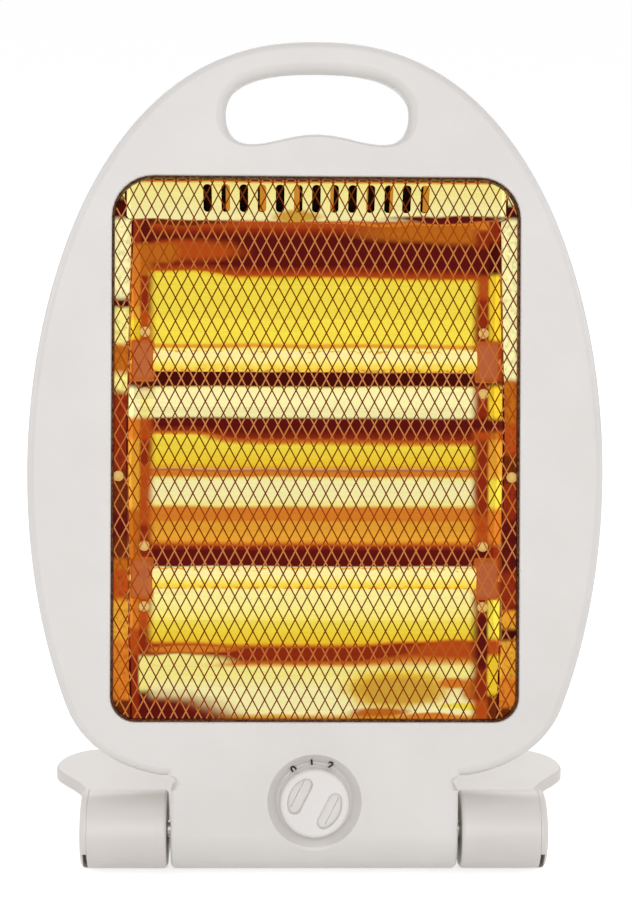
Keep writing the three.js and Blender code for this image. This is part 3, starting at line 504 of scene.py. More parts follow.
@dataclass
class CasingForm:
    """The egg-shaped outline that both shells share, and the places that go with it."""

    half_width: float = 132.0
    half_height: float = 197.7
    power_across: float = 2.32  # of the superellipse, for x
    power_up: float = 2.0  # and for z
    centre: float = 182.3
    shoulder: float = 75.0
    underside: float = 43.8
    underside_half: float = 70.0
    neck_half: float = 63.2
    wall: float = 2.2
    screw_places: tuple[Point, ...] = ((28.7, 334.0), (17.4, 226.0), (17.6, 56.0))  # inward, height
    screw_head: float = 3.2
    screw_shank: float = 1.5
    screw_seat: float = 4.0  # behind the split
    handle_half: float = 42.0
    handle_widest: float = 346.0
    handle_top: float = 365.1
    handle_sill: float = 337.8
    handle_lobe: float = 333.2
    handle_lobe_x: float = 30.0
    handle_draft: float = 0.2  # how fast its wall widens towards the back

    def egg(self, egg_steps: int = 72, shoulder_steps: int = 12) -> Outline:
        """The outline: a superellipse above two rounded shoulders."""

        def place(angle: float) -> Point:
            """A point of the superellipse."""
            sine = math.sin(angle)
            return (
                self.half_width * max(math.cos(angle), 0.0) ** (2 / self.power_across),
                up(self.centre) + self.half_height * math.copysign(abs(sine) ** (2 / self.power_up), sine),
            )

        first = -math.asin(((self.centre - self.shoulder) / self.half_height) ** (self.power_up / 2))
        start, near = Vector(place(first)), Vector(place(first + 0.01))
        slope = (start - near).normalized()
        drop = self.shoulder - self.underside
        low = (self.underside_half, up(self.underside))
        pull = (self.underside_half + drop * 0.65, up(self.underside) + drop * 0.1)
        right = bezier(low, pull, tuple(start + slope * drop * 0.58), tuple(start), shoulder_steps)
        span = math.pi / 2 - first
        right += [place(first + span * i / egg_steps) for i in range(1, egg_steps + 1)]
        return mirrored(right)

    def half_at(self, height: float) -> float:
        """Half the casing's width at a height."""
        right = [p for p in self.egg() if p[0] > 0]
        above = next(i for i, p in enumerate(right) if p[1] > up(height))
        low, high = right[above - 1], right[above]
        return low[0] + (high[0] - low[0]) * (up(height) - low[1]) / (high[1] - low[1])

    def screws(self) -> list[Point]:
        """The places of the casing's screws, on both sides, as x and z."""
        places = [(self.half_at(height) - inward, up(height)) for inward, height in self.screw_places]
        return [(side * x, z) for x, z in places for side in (-1, 1)]

    def at_screws(self, radius: float, near: float, far: float, sides: int = 24) -> list[Solid]:
        """A rod at each of the casing's screws."""
        return [rod(radius, near, far, sides).move(x=x, z=z) for x, z in self.screws()]

    def handle(self, top: float = 0.0, side: float = 0.0, sill: float = 0.0, steps: int = 14) -> Outline:
        """The carrying hole: an arch over a sill that sags at both ends.

        Args:
            top: How much wider it is drawn above.
            side: How much wider it is drawn at each side.
            sill: How much wider it is drawn below.
            steps: Steps in each of its curves.

        Returns:
            The hole's outline.
        """
        right = self.handle_half + side
        low, high = up(self.handle_lobe - sill), up(self.handle_top + top)
        middle = up(self.handle_sill - sill)
        lobe, widest = self.handle_lobe_x, self.handle_widest
        end = (right, up(widest))
        half = bezier((0.0, middle), (lobe * 0.4, middle), (lobe * 0.7, low), (lobe, low), steps)
        half += bezier((lobe, low), (lobe + side + 8, low), (right, up(widest - 7.5)), end, steps)
        above = (right, up(widest + 15.5 + top / 2))
        half += bezier(end, above, (right * 0.62, high), (0.0, high), steps + 6)
        return mirrored(half)

    def handle_wall(self, depth: float, wall: float = 0.0) -> Outline:
        """The hole's wall at a depth, which leans outward behind the rounded edge."""
        lean = max(depth - (LAYOUT.front + 6.0), 0.0) * self.handle_draft + wall
        return self.handle(lean, lean * 0.6, lean * 0.5)

    def handle_tube(self, near: float, far: float, wall: float = 0.0) -> Solid:
        """What the hole's wall, thickened, holds between two depths."""
        return loft([ring_at(self.handle_wall(depth, wall), depth) for depth in (near, far)])

    def window(self, margin: float, steps: int = 8) -> Outline:
        """The window's outline, grown by a margin."""
        low, high = up(LAYOUT.window_bottom - margin), up(LAYOUT.window_top + margin)
        radii = (max(11.5 + margin, 1.0), 19.0 + margin)
        return rounded_rectangle(LAYOUT.window_half + margin, low, high, radii, steps)


FORM = CasingForm()


@dataclass
class HingeBarrel:
    """The barrel below the casing and its neck, which each shell holds one half of."""

    wall: float = 2.4
    end_round: float = 2.2
    fillet: float = 4.0  # where the neck meets the underside
    neck_round: float = 2.4
    lip: float = 6.0  # how far the neck runs on behind the split
    overlap: float = 5.5  # how far the neck runs up behind the casing's rounded rim

    def neck_half(self, z: float) -> float:
        """Half the neck's width at a height above the axis: a concave waist above the barrel."""
        top = up(FORM.underside)
        waist = top - self.fillet
        if z >= waist:
            rise = min(z - waist, self.fillet)
            return FORM.neck_half + self.fillet - math.sqrt(max(self.fillet**2 - rise**2, 0.0))
        flare = LAYOUT.barrel_half - FORM.neck_half
        fall = min(waist - z, flare)
        return FORM.neck_half + flare - math.sqrt(max(flare**2 - fall**2, 0.0))

    def barrel(self, radius: float, half: float, rounding: float) -> Solid:
        """A round bar along the hinge axis with rounded ends."""
        return along_x(drum(radius, -half, half, (rounding, rounding), (5, 96)))

    def half(self, in_front: bool) -> Solid:
        """The half of barrel and neck in front of the split, or behind it."""
        rear = LAYOUT.split + self.lip
        sections = []
        waist = up(FORM.underside) - self.fillet
        flare_start = waist - (LAYOUT.barrel_half - FORM.neck_half)
        heights = [0.0, flare_start * 0.6]
        heights += [flare_start + (waist - flare_start) * (i / 6) for i in range(7)]
        heights += [waist + self.fillet * math.sin(math.radians(a)) for a in (15, 30, 45, 60, 75, 84, 90)]
        heights += [up(FORM.underside) + self.overlap]
        for z in heights:
            width = self.neck_half(z)
            turn = self.neck_round
            corner = arc((width - turn, LAYOUT.front + turn), turn, 0, -90, 5)
            sections.append([(x, y, z) for x, y in mirrored([(width, rear), *corner])])
        whole = self.barrel(LAYOUT.radius, LAYOUT.barrel_half, self.end_round).join(loft(sections))
        far, wide = 3 * LAYOUT.radius, LAYOUT.barrel_half + PAST
        if in_front:
            return whole.keep(block((-wide, -far, -far), (wide, LAYOUT.split, far)))
        return whole.keep(block((-wide, LAYOUT.split + LAYOUT.clearance, -far), (wide, far, far)))

    def cavity(self) -> Solid:
        """The hollow inside the barrel and the neck."""
        half = LAYOUT.barrel_half - 2 * self.wall
        neck = FORM.neck_half - self.wall
        top = up(FORM.underside) + self.overlap + PAST
        bore = self.barrel(LAYOUT.radius - self.wall, half, 0.0)
        back = LAYOUT.split + self.lip - FORM.wall
        return bore.join(block((-neck, LAYOUT.front + FORM.wall, 0), (neck, back, top)))

    def pin_holes(self) -> Solid:
        """The bearing holes in the barrel's two ends."""
        reach = LAYOUT.barrel_half + PAST
        return along_x(rod(LAYOUT.pin_radius + LAYOUT.clearance, -reach, reach))


@dataclass
class FrontShell:
    """The moulded front with its window, carrying hole, dial dish and half of the barrel."""

    finish: bpy.types.Material
    barrel: HingeBarrel
    rim: float = 4.0
    recess: float = 7.0
    recess_collar: float = 2.0
    window_edge: float = 0.7  # rounding of the window's rim
    handle_roll: float = 6.0  # depth over which the carrying hole's edge turns in
    handle_collar: float = 3.2
    handle_flare: tuple[float, float, float] = (6.5, 4.7, 2.4)  # above, at the sides and below
    boss: float = 4.2
    dial_wall: float = 1.4
    shaft_hole: float = 4.0

    def shell(self) -> Solid:
        """The bowl of the front: its flat face, rounded rim and side wall, hollowed."""
        egg = FORM.egg()
        rings = [ring_at(inset(egg, self.rim * across), LAYOUT.front + self.rim * deep)
                 for across, deep in quarter(8)]
        rings.append(ring_at(egg, LAYOUT.split))
        inner = prism(inset(egg, FORM.wall), LAYOUT.front + FORM.wall, LAYOUT.split + PAST)
        return loft(rings).cut(inner)

    def window_cut(self) -> Solid:
        """The window's opening with its slightly rounded edge."""
        rings = [ring_at(FORM.window(self.window_edge + PAST), LAYOUT.front - PAST)]
        edge = self.window_edge
        for across, deep in quarter(4):
            rings.append(ring_at(FORM.window(edge * across), LAYOUT.front + edge * deep))
        rings.append(ring_at(FORM.window(0), LAYOUT.front + self.recess + PAST))
        return loft(rings)

    def handle_cut(self) -> Solid:
        """The carrying hole with its edge turned in as a quarter round."""
        inner, outer = FORM.handle(), FORM.handle(*self.handle_flare)
        rings = []
        for across, deep in quarter(8):
            moved = [tuple(Vector(p).lerp(Vector(q), across)) for p, q in zip(inner, outer)]
            rings.append(ring_at(moved, LAYOUT.front + self.handle_roll * deep))
        rings[0] = [(x, y - 0.02, z) for x, y, z in rings[0]]
        rings.append(ring_at(FORM.handle_wall(LAYOUT.split + PAST), LAYOUT.split + PAST))
        return loft(rings)

    def dial_cup(self) -> tuple[Solid, Solid]:
        """The dish round the knob, as what is added and what is taken out."""
        front, back = LAYOUT.front, LAYOUT.front + LAYOUT.dial_depth
        wall, mouth, floor = self.dial_wall, LAYOUT.dial_mouth, LAYOUT.dial_floor
        added = turned([(mouth + wall, front + 0.6), (floor + wall, back + wall)], 96)
        rim = [(mouth + PAST, front - PAST), (mouth + 0.35, front - 0.02), (mouth - 0.1, front + 0.5)]
        taken = turned([*rim, (floor + 0.4, back - 0.5), (floor - 0.5, back)], 96)
        centre = up(LAYOUT.dial_height)
        return added.move(z=centre), taken.move(z=centre)

    def build(self, where: Matrix) -> None:
        """Builds the shell and puts it in place."""
        inner, split = LAYOUT.front + FORM.wall, LAYOUT.split
        near = inner - PAST / 2
        collar = FORM.handle_tube(near, split, self.handle_collar)
        lining = prism(FORM.window(self.recess_collar), near, LAYOUT.front + self.recess)
        body = self.shell().join(collar, lining, self.barrel.half(True))
        body.cut(self.barrel.cavity(), self.window_cut(), self.handle_cut())
        cup, dish = self.dial_cup()
        body.join(cup, *FORM.at_screws(self.boss, near, split))
        hole = rod(self.shaft_hole, LAYOUT.front, split).move(z=up(LAYOUT.dial_height))
        pilots = FORM.at_screws(FORM.screw_shank + LAYOUT.clearance, inner + FORM.wall, split + PAST, 16)
        body.cut(dish, hole, self.barrel.pin_holes(), *pilots)
        Piece("shell_front", Body.HEATER, Slot.CASING, self.finish, ("front_casing",)).place(body, where)


@dataclass
class RearShell:
    """The swelling back with its louvres, screw wells, cord seat and the rest of the barrel."""

    finish: bpy.types.Material
    barrel: HingeBarrel
    lip: float = 6.0
    swell: float = 34.0  # width of the edge over which the back swells out
    back_depth: float = 30.0
    handle_depth: float = 6.0
    low_depth: float = 12.0
    low_top: float = 112.0
    high_start: float = 296.0
    high_end: float = 334.0
    sleeve: float = 5.6
    handle_collar: float = 2.6
    post: float = 3.0
    post_gap: float = 1.1  # between the posts and the reflector's flange
    vent_half: float = 62.0
    vent_width: float = 4.0
    vent_pitch: float = 9.0
    vent_count: int = 6
    vent_round: float = 1.99
    vent_starts: tuple[float, float] = (222.0, 122.0)
    gland_play: float = 1.0
    steps: int = 10  # from the side wall to the back

    def depth_at(self, height: float) -> float:
        """How far the back stands behind the split at a height."""

        def ease(value: float, low: float, high: float) -> float:
            """A smooth step from 0 at low to 1 at high."""
            part = min(max((value - low) / (high - low), 0.0), 1.0)
            return part * part * (3 - 2 * part)

        rise = ease(height, FORM.underside, self.low_top)
        low = self.low_depth + (self.back_depth - self.low_depth) * rise
        return low + (self.handle_depth - low) * ease(height, self.high_start, self.high_end)

    def form(self, wall: float = 0.0) -> Solid:
        """The outer form of the cover, or its inner form when thinned by a wall."""
        egg = FORM.egg(48, 9)
        start = LAYOUT.split + LAYOUT.clearance - (PAST if wall > 0 else 0.0)
        rings = [ring_at(inset(egg, wall), start)]
        for step in range(self.steps + 1):
            angle = math.radians(90 * step / self.steps)
            ring = []
            for x, z in inset(egg, wall + self.swell * (1 - math.cos(angle))):
                full = self.depth_at(z + LAYOUT.radius - LAYOUT.drop)
                lip = min(self.lip, full) * 0.8
                depth = LAYOUT.split + lip + (full - lip) * math.sin(angle) - wall
                ring.append((x, depth, z))
            rings.append(ring)
        return loft(rings, bowed=True)

    def build(self, where: Matrix) -> None:
        """Builds the cover and puts it in place."""
        split = LAYOUT.split
        far = split + self.back_depth + PAST
        start = split + LAYOUT.clearance
        seat = split + LAYOUT.gland_seat
        well = LAYOUT.gland_flange + self.gland_play
        at_gland = {"x": LAYOUT.gland_half, "z": up(LAYOUT.gland_height)}
        cup = rod(well + FORM.wall, seat - FORM.wall, far, 48).move(**at_gland)
        collar = FORM.handle_tube(start, far, self.handle_collar)
        inside = collar.join(cup, *FORM.at_screws(self.sleeve, start, far, 32)).keep(self.form())
        body = self.form().cut(self.form(FORM.wall)).join(inside, self.barrel.half(False))
        vents = []
        for first in self.vent_starts:
            for row in range(self.vent_count):
                low = up(first + row * self.vent_pitch)
                radii = (self.vent_round, self.vent_round)
                outline = rounded_rectangle(self.vent_half, low, low + self.vent_width, radii, 4)
                vents.append(prism(outline, split + self.back_depth / 2, far))
        hole = rod(LAYOUT.gland_neck + LAYOUT.clearance, split + PAST, seat + PAST, 40)
        hole.join(rod(well, seat, far, 48)).move(**at_gland)
        louvres = vents[0].with_parts(*vents[1:])
        handle = FORM.handle_tube(split, far)
        body.cut(self.barrel.cavity(), handle, self.barrel.pin_holes(), hole, louvres)
        across, height = LAYOUT.flange_screw
        near = LAYOUT.dish_front + self.post_gap
        posts = [rod(self.post, near, far - 2 * PAST, 16).move(x=x, z=up(height)) for x in (-across, across)]
        wells = FORM.at_screws(FORM.screw_head + LAYOUT.clearance, split + FORM.screw_seat, far, 32)
        holes = FORM.at_screws(FORM.screw_shank + LAYOUT.clearance, split, far, 16)
        body.join(*posts).cut(*wells, *holes)
        Piece("shell_rear", Body.HEATER, Slot.CASING, self.finish, ("rear_cover",)).place(body, where)


# ------------------------------------------------------------------ window: guard, reflector, tubes


@dataclass
class Guard:
    """The woven wire net and the dark steel lining that clamps it into the window."""

    wire_finish: bpy.types.Material
    lining_finish: bpy.types.Material
    pitch_x: float = 5.56
    pitch_z: float = 10.56
    node_x: float = 2.0  # a crossing's x in the row at node_height
    node_height: float = 315.3
    wire: float = 0.3  # radius of a wire
    weave: float = 0.22  # how far a wire swings in depth between crossings
    lining: float = 1.0  # thickness of the lining
    lining_depths: Point = (2.4, 7.0)  # behind the front
    under: float = 0.4  # how far the wires run on past the window's edge
    sides: int = 6  # of a wire
    border: float = 4.5  # hidden behind the recess collar

    def lining_ring(self, outer: Outline, inner: Outline, near: float, far: float) -> Solid:
        """A flat ring between two outlines of equal count."""
        rings = [ring_at(outer, near), ring_at(inner, near), ring_at(inner, far), ring_at(outer, far)]
        return loft(rings, closed=True)

    def wires(self) -> Solid:
        """Every wire of the net, clipped to the window, as one mesh."""
        half, sides = LAYOUT.window_half + self.under, self.sides
        low, high = up(LAYOUT.window_bottom - self.under), up(LAYOUT.window_top + self.under)
        outline = FORM.window(self.under, 6)
        depth = LAYOUT.net_front + 0.5
        vertices: list[tuple[float, float, float]] = []
        faces: list[tuple[int, ...]] = []
        slope = self.pitch_z / self.pitch_x
        step = self.pitch_x / 2
        origin_z = up(self.node_height)
        reach = int((half * slope + (high - low)) / self.pitch_z) + 2
        for way in (-1, 1):
            for line in range(-reach, reach + 1):
                start_z = origin_z + line * self.pitch_z - way * slope * self.node_x
                span = self.clipped(start_z, way * slope, outline)
                if span is None:
                    continue
                first = math.ceil((span[0] - self.node_x) / step)
                last = math.floor((span[1] - self.node_x) / step)
                nodes = [self.node_x + k * self.pitch_x / 2 for k in range(first, last + 1)]
                stations = [span[0], *nodes, span[1]]
                start = len(vertices)
                direction = Vector((1, 0, way * slope)).normalized()
                sideways = Vector((-direction.z, 0, direction.x))
                for x in stations:
                    crossing = round((x - self.node_x) / step) + max(way, 0)
                    swing = self.weave * (1 if crossing % 2 else -1) * 0.5
                    z = start_z + way * slope * x
                    for corner in range(sides):
                        angle = math.tau * corner / sides
                        at = sideways * (self.wire * math.cos(angle))
                        vertices.append((x + at.x, depth + swing + self.wire * math.sin(angle), z + at.z))
                end = start + (len(stations) - 1) * sides
                for ring in range(start, end, sides):
                    for i in range(sides):
                        a, b = ring + i, ring + (i + 1) % sides
                        faces.append((a, b, b + sides, a + sides))
                faces += [tuple(range(ring, ring + sides)) for ring in (start, end)]
        return Solid(vertices, faces)

    def clipped(self, start_z: float, slope: float, outline: Outline) -> Point | None:
        """The stretch of x over which the line z = start_z + slope x lies in a convex outline."""
        crossings = []
        for i, (x, z) in enumerate(outline):
            before = outline[i - 1]
            here = z - start_z - slope * x
            there = before[1] - start_z - slope * before[0]
            if here * there < 0:
                part = here / (here - there)
                crossings.append(x + (before[0] - x) * part)
        if len(crossings) < 2 or max(crossings) - min(crossings) < self.pitch_x / 3:
            return None
        return min(crossings), max(crossings)

    def build(self, where: Matrix) -> None:
        """Builds the net and its lining and puts them in place."""
        net = self.wires()
        rim = self.lining_ring(FORM.window(self.border), FORM.window(-0.35),
                               LAYOUT.net_front + 0.1, LAYOUT.net_front + 0.9)
        piece = Piece("guard_wires", Body.HEATER, Slot.GUARD, self.wire_finish, ("guard_net",), 50)
        piece.place(net.with_parts(rim), where)
        near, far = (LAYOUT.front + depth for depth in self.lining_depths)
        strip = self.lining_ring(FORM.window(-0.15), FORM.window(-self.lining), near, far)
        Piece("guard_lining", Body.HEATER, Slot.GUARD, self.lining_finish).place(strip, where)


@dataclass
class Reflector:
    """The folded dish behind the tubes, its side flanges, its slots, and behind them strips of painted glow
    and a black strip of painted shade.
    """

    dish_finish: bpy.types.Material
    glow_rib_finish: bpy.types.Material
    shade_strip_finish: bpy.types.Material
    sheet: float = 0.8
    flange: float = 4.5
    half_width: float = 86.4
    end_slope: float = 0.4
    fold_top: Point = (14.0, 297.0)  # depth and height
    fold_bottom: Point = (14.0, 94.0)
    ledge: Point = (20.0, 101.0)
    trough_half: float = 21.0
    throat_depth: float = 25.7
    throat_rise: float = 43.0
    crease_depth: float = 17.0
    crease_half: float = 12.5
    crease_foot: float = 24.8
    slot_count: int = 13
    slot_pitch: float = 8.4
    slot_width: float = 4.0
    slot_length: float = 14.6
    slot_height: float = 309.2
    slot_round: float = 1.95
    rib_depths: Point = (1.6, 2.2)  # behind the slots
    shade_strip_depths: Point = (2.8, 3.4)
    shade_strip_share: float = 0.62  # of the slots' length, above and below their middle
    tail_hole: float = 3.0
    screw_hole: float = 1.6
    foot_half: float = 80.5
    # Strips behind the slots, painted with glow, from the left: slot, first and last part of its width.
    lit_glow_ribs: tuple[tuple[int, float, float], ...] = (
        (1, 0.5, 1.0), (3, 0.25, 1.0), (5, 0.0, 0.65), (7, 0.0, 0.4), (9, 0.0, 0.2), (10, 0.66, 1.0),
        (12, 0.33, 1.0),
    )

    def section(self) -> list[Point]:
        """The dish's section from top to bottom, as depth behind the flange and height."""
        upper, lower = LAYOUT.upper_tube, LAYOUT.lower_tube
        crease = (upper + lower) / 2
        return [
            (0.0, LAYOUT.window_top),
            self.fold_top,
            (self.throat_depth, upper + self.throat_rise),
            (LAYOUT.trough_depth, upper + self.trough_half),
            (LAYOUT.trough_depth, upper - self.trough_half),
            (self.crease_foot, crease + self.crease_half),
            (self.crease_depth, crease),
            (self.crease_foot, crease - self.crease_half),
            (LAYOUT.trough_depth, lower + self.trough_half),
            (LAYOUT.trough_depth, lower - self.trough_half),
            self.ledge,
            self.fold_bottom,
            (0.0, LAYOUT.window_bottom),
        ]

    def form(self, grow: float) -> Solid:
        """The space inside the dish, or its outside when grown by the sheet."""
        front = LAYOUT.dish_front
        drawn = [(front + depth, up(height)) for depth, height in self.section()]
        inner = list(reversed(drawn))
        moved = inset(inner, -grow) if grow else inner
        near = front - (0.0 if grow else PAST)
        high, low = up(LAYOUT.window_top) + grow, up(LAYOUT.window_bottom) - grow
        shape = [(near, low), (front, low), *moved[1:-1], (front, high), (near, high)]
        half = self.half_width + grow
        back = front + LAYOUT.trough_depth + grow
        bar = loft([[(x, y, z) for y, z in shape] for x in (-half, half)])
        ends = [(-half, near), (half, near), (half - self.end_slope, back), (-half + self.end_slope, back)]
        slab = loft([[(x, y, z) for x, y in ends] for z in (low - PAST, high + PAST)])
        return bar.keep(slab)

    def slot_places(self) -> list[tuple[float, float]]:
        """Each slot's x and its depth in the casing's frame."""
        part = (LAYOUT.window_top - self.slot_height) / (LAYOUT.window_top - self.fold_top[1])
        depth = LAYOUT.dish_front + part * self.fold_top[0]
        middle = (self.slot_count - 1) / 2
        return [((i - middle) * self.slot_pitch, depth) for i in range(self.slot_count)]

    @property
    def slope(self) -> float:
        """The angle of the slope that holds the slots, in degrees from upright."""
        return math.degrees(math.atan2(self.fold_top[0], LAYOUT.window_top - self.fold_top[1]))

    def slots(self) -> Solid:
        """The tools that cut the slots, with round ends."""
        half, radii = self.slot_length / 2, (self.slot_round, self.slot_round)
        outline = rounded_rectangle(self.slot_width / 2, -half, half, radii, 5)
        tools = []
        for x, depth in self.slot_places():
            tool = prism(outline, -2.4, 2.4).turn(self.slope, "X")
            tools.append(tool.move(x, depth, up(self.slot_height)))
        return tools[0].with_parts(*tools[1:])

    def glow_ribs(self) -> Solid:
        """The strips, painted with glow, that show behind part of some slots."""
        parts = []
        places = self.slot_places()
        for slot, first, last in self.lit_glow_ribs:
            x, depth = places[slot]
            left = x - self.slot_width / 2
            low = (left + first * self.slot_width, self.rib_depths[0], -self.slot_length / 2)
            high = (left + last * self.slot_width, self.rib_depths[1], self.slot_length / 2)
            parts.append(block(low, high).turn(self.slope, "X").move(0, depth, up(self.slot_height)))
        return parts[0].with_parts(*parts[1:])

    def baffle(self) -> Solid:
        """The black strip a little way behind the slots: painted shade that keeps the casing's inside dark.
        """
        places = self.slot_places()
        half, rise = places[-1][0] + self.slot_width, self.slot_length * self.shade_strip_share
        near, far = self.shade_strip_depths
        strip = block((-half, near, -rise), (half, far, rise))
        return strip.turn(self.slope, "X").move(0, places[0][1], up(self.slot_height))

    def build(self, where: Matrix) -> None:
        """Builds the dish, the flanges, the strips of painted glow and the black strip of painted shade and
        puts them in place.
        """
        front, trough = LAYOUT.dish_front, LAYOUT.dish_front + LAYOUT.trough_depth
        tails, feet, screws = [], [], []
        for side in (-1, 1):
            for height in (LAYOUT.upper_tube, LAYOUT.lower_tube):
                tail = rod(self.tail_hole, side * (self.half_width - 4), side * (self.half_width + 4), 16)
                tails.append(along_x(tail).move(0, LAYOUT.tube_depth, up(height)))
                for rise in (-LAYOUT.bracket_screw, LAYOUT.bracket_screw):
                    hole = rod(self.screw_hole, trough - PAST, trough + 3, 12)
                    feet.append(hole.move(side * self.foot_half, 0, up(height) + rise))
            hole = rod(self.screw_hole, front - PAST, front + self.sheet + PAST, 12)
            screws.append(hole.move(side * LAYOUT.flange_screw[0], 0, up(LAYOUT.flange_screw[1])))
        flange = prism(FORM.window(self.flange, 4), front, front + self.sheet)
        body = flange.join(self.form(self.sheet))
        body.cut(self.form(0.0), self.slots(), *tails, *feet, *screws)
        dish = Piece("reflector_dish", Body.HEATER, Slot.REFLECTOR, self.dish_finish, ("reflector",), 8)
        dish.place(body, where)
        Piece("slot_glow_ribs", Body.HEATER, Slot.REFLECTOR, self.glow_rib_finish).place(self.glow_ribs(), where)
        Piece("slot_baffle", Body.HEATER, Slot.STEEL, self.shade_strip_finish).place(self.baffle(), where)


@dataclass
class Tubes:
    """The two quartz tubes with the ceramic blocks, brackets and screws that hold their ends."""

    quartz: bpy.types.Material
    ceramic: bpy.types.Material
    zinc: bpy.types.Material
    glint: bpy.types.Material
    radius: float = 5.0
    wall: float = 1.0
    shown: float = 75.5
    seat: float = 4.0
    cap_length: float = 10.0
    cap_height: float = 19.0
    cap_depth: float = 14.0
    cap_round: float = 2.5
    bore: float = 1.8
    bracket_sheet: float = 1.0
    bracket_foot: float = 8.0
    screw_head: float = 2.4
    screw_hole: float = 1.6

    def tube(self) -> Solid:
        """A quartz tube about x, softly rounded at its ends."""
        half, bore, radius, edge = self.shown + self.seat, self.radius - self.wall, self.radius, 0.3
        profile = [(bore, -half), (radius - edge, -half), (radius, -half + edge),
                   (radius, half - edge), (radius - edge, half), (bore, half)]
        return along_x(turned(profile, 48, hollow=True))

    def cap(self) -> Solid:
        """An end block for the right, with the seat for the tube and the wire's bore."""
        half, edge, radii = self.cap_height / 2, 0.6, (self.cap_round, self.cap_round)
        rings = []
        for x, shrink in ((0.0, edge), (edge, 0.0), (self.cap_length - edge, 0.0), (self.cap_length, edge)):
            low, high = -half + shrink, half - shrink
            outline = rounded_rectangle(self.cap_depth / 2 - shrink, low, high, radii, 6)
            rings.append([(self.shown + x, y, z) for y, z in outline])
        seat = rod(self.radius + LAYOUT.clearance, self.shown - PAST, self.shown + self.seat + 0.3, 40)
        bore = rod(self.bore, self.shown - PAST, self.shown + self.cap_length + PAST, 20)
        return loft(rings).cut(along_x(seat), along_x(bore))

    def bracket(self) -> Solid:
        """A hat-shaped strip about the cap's middle, with rounded bends."""
        sheet = self.bracket_sheet
        top = self.cap_depth / 2 + LAYOUT.clearance
        base = LAYOUT.dish_front + LAYOUT.trough_depth - LAYOUT.tube_depth - LAYOUT.clearance
        half = self.cap_height / 2
        foot = half + self.bracket_foot
        shape = [
            (top, -half), (base - sheet, -half), (base - sheet, -foot), (base, -foot),
            (base, -half + sheet), (top + sheet, -half + sheet), (top + sheet, half - sheet),
            (base, half - sheet), (base, foot), (base - sheet, foot), (base - sheet, half), (top, half),
        ]
        start, end = self.shown, self.shown + self.cap_length
        strip = loft([[(x, y, z) for y, z in shape] for x in (start, end)])
        middle = (start + end) / 2
        rises = (-LAYOUT.bracket_screw, LAYOUT.bracket_screw)
        holes = [rod(self.screw_hole, base - 3, base + 3, 16).move(middle, 0, rise) for rise in rises]
        return strip.cut(*holes)

    def screw(self) -> Solid:
        """A pan-head screw along y with a cross in its head, its seat at y = 0."""
        head = self.screw_head
        dome = [(head * 0.35, -1.4), (head * 0.8, -1.15), (head, -0.6), (head, 0.0)]
        return turned([*dome, (1.3, 0.0), (1.3, 6.0)], 28).cut(*cross_slots(1.2, 0.25, -2.0, -0.8))

    def build(self, where: Matrix) -> None:
        """Builds both tubes and what holds them."""
        screw_depth = LAYOUT.dish_front + LAYOUT.trough_depth - self.bracket_sheet - 2 * LAYOUT.clearance
        middle = self.shown + self.cap_length / 2
        for word, height in (("upper", LAYOUT.upper_tube), ("lower", LAYOUT.lower_tube)):
            at = {"y": LAYOUT.tube_depth, "z": up(height)}
            tube = Piece(f"tube_{word}", Body.HEATER, Slot.QUARTZ, self.quartz, (f"quartz_tube_{word}",))
            tube.place(self.tube().move(**at), where)
            for side in Side:
                end = f"{word}_{side.word}"
                cap = Piece(f"cap_{end}", Body.HEATER, Slot.CERAMIC, self.ceramic, (f"end_cap_{end}",))
                cap.place(self.cap().for_side(side).move(**at), where)
                hat = Piece(f"hat_{end}", Body.HEATER, Slot.STEEL, self.zinc, (f"tube_bracket_{end}",))
                hat.place(self.bracket().for_side(side).move(**at), where)
                for level, way in (("top", 1), ("bottom", -1)):
                    node = f"bracket_screw_{end}_{level}"
                    screw = Piece(f"screw_{end}_{level}", Body.HEATER, Slot.STEEL, self.glint, (node,))
                    spot = (side.value * middle, screw_depth, up(height) + way * LAYOUT.bracket_screw)
                    screw.place(self.screw().move(*spot), where)
        for side in Side:
            screw = Piece(f"screw_flange_{side.word}", Body.HEATER, Slot.STEEL, self.glint,
                          (f"reflector_screw_{side.word}",))
            across, height = LAYOUT.flange_screw
            spot = (side.value * across, LAYOUT.dish_front - LAYOUT.clearance, up(height))
            screw.place(self.screw().move(*spot), where)


# ------------------------------------------------------------------ dial and foot


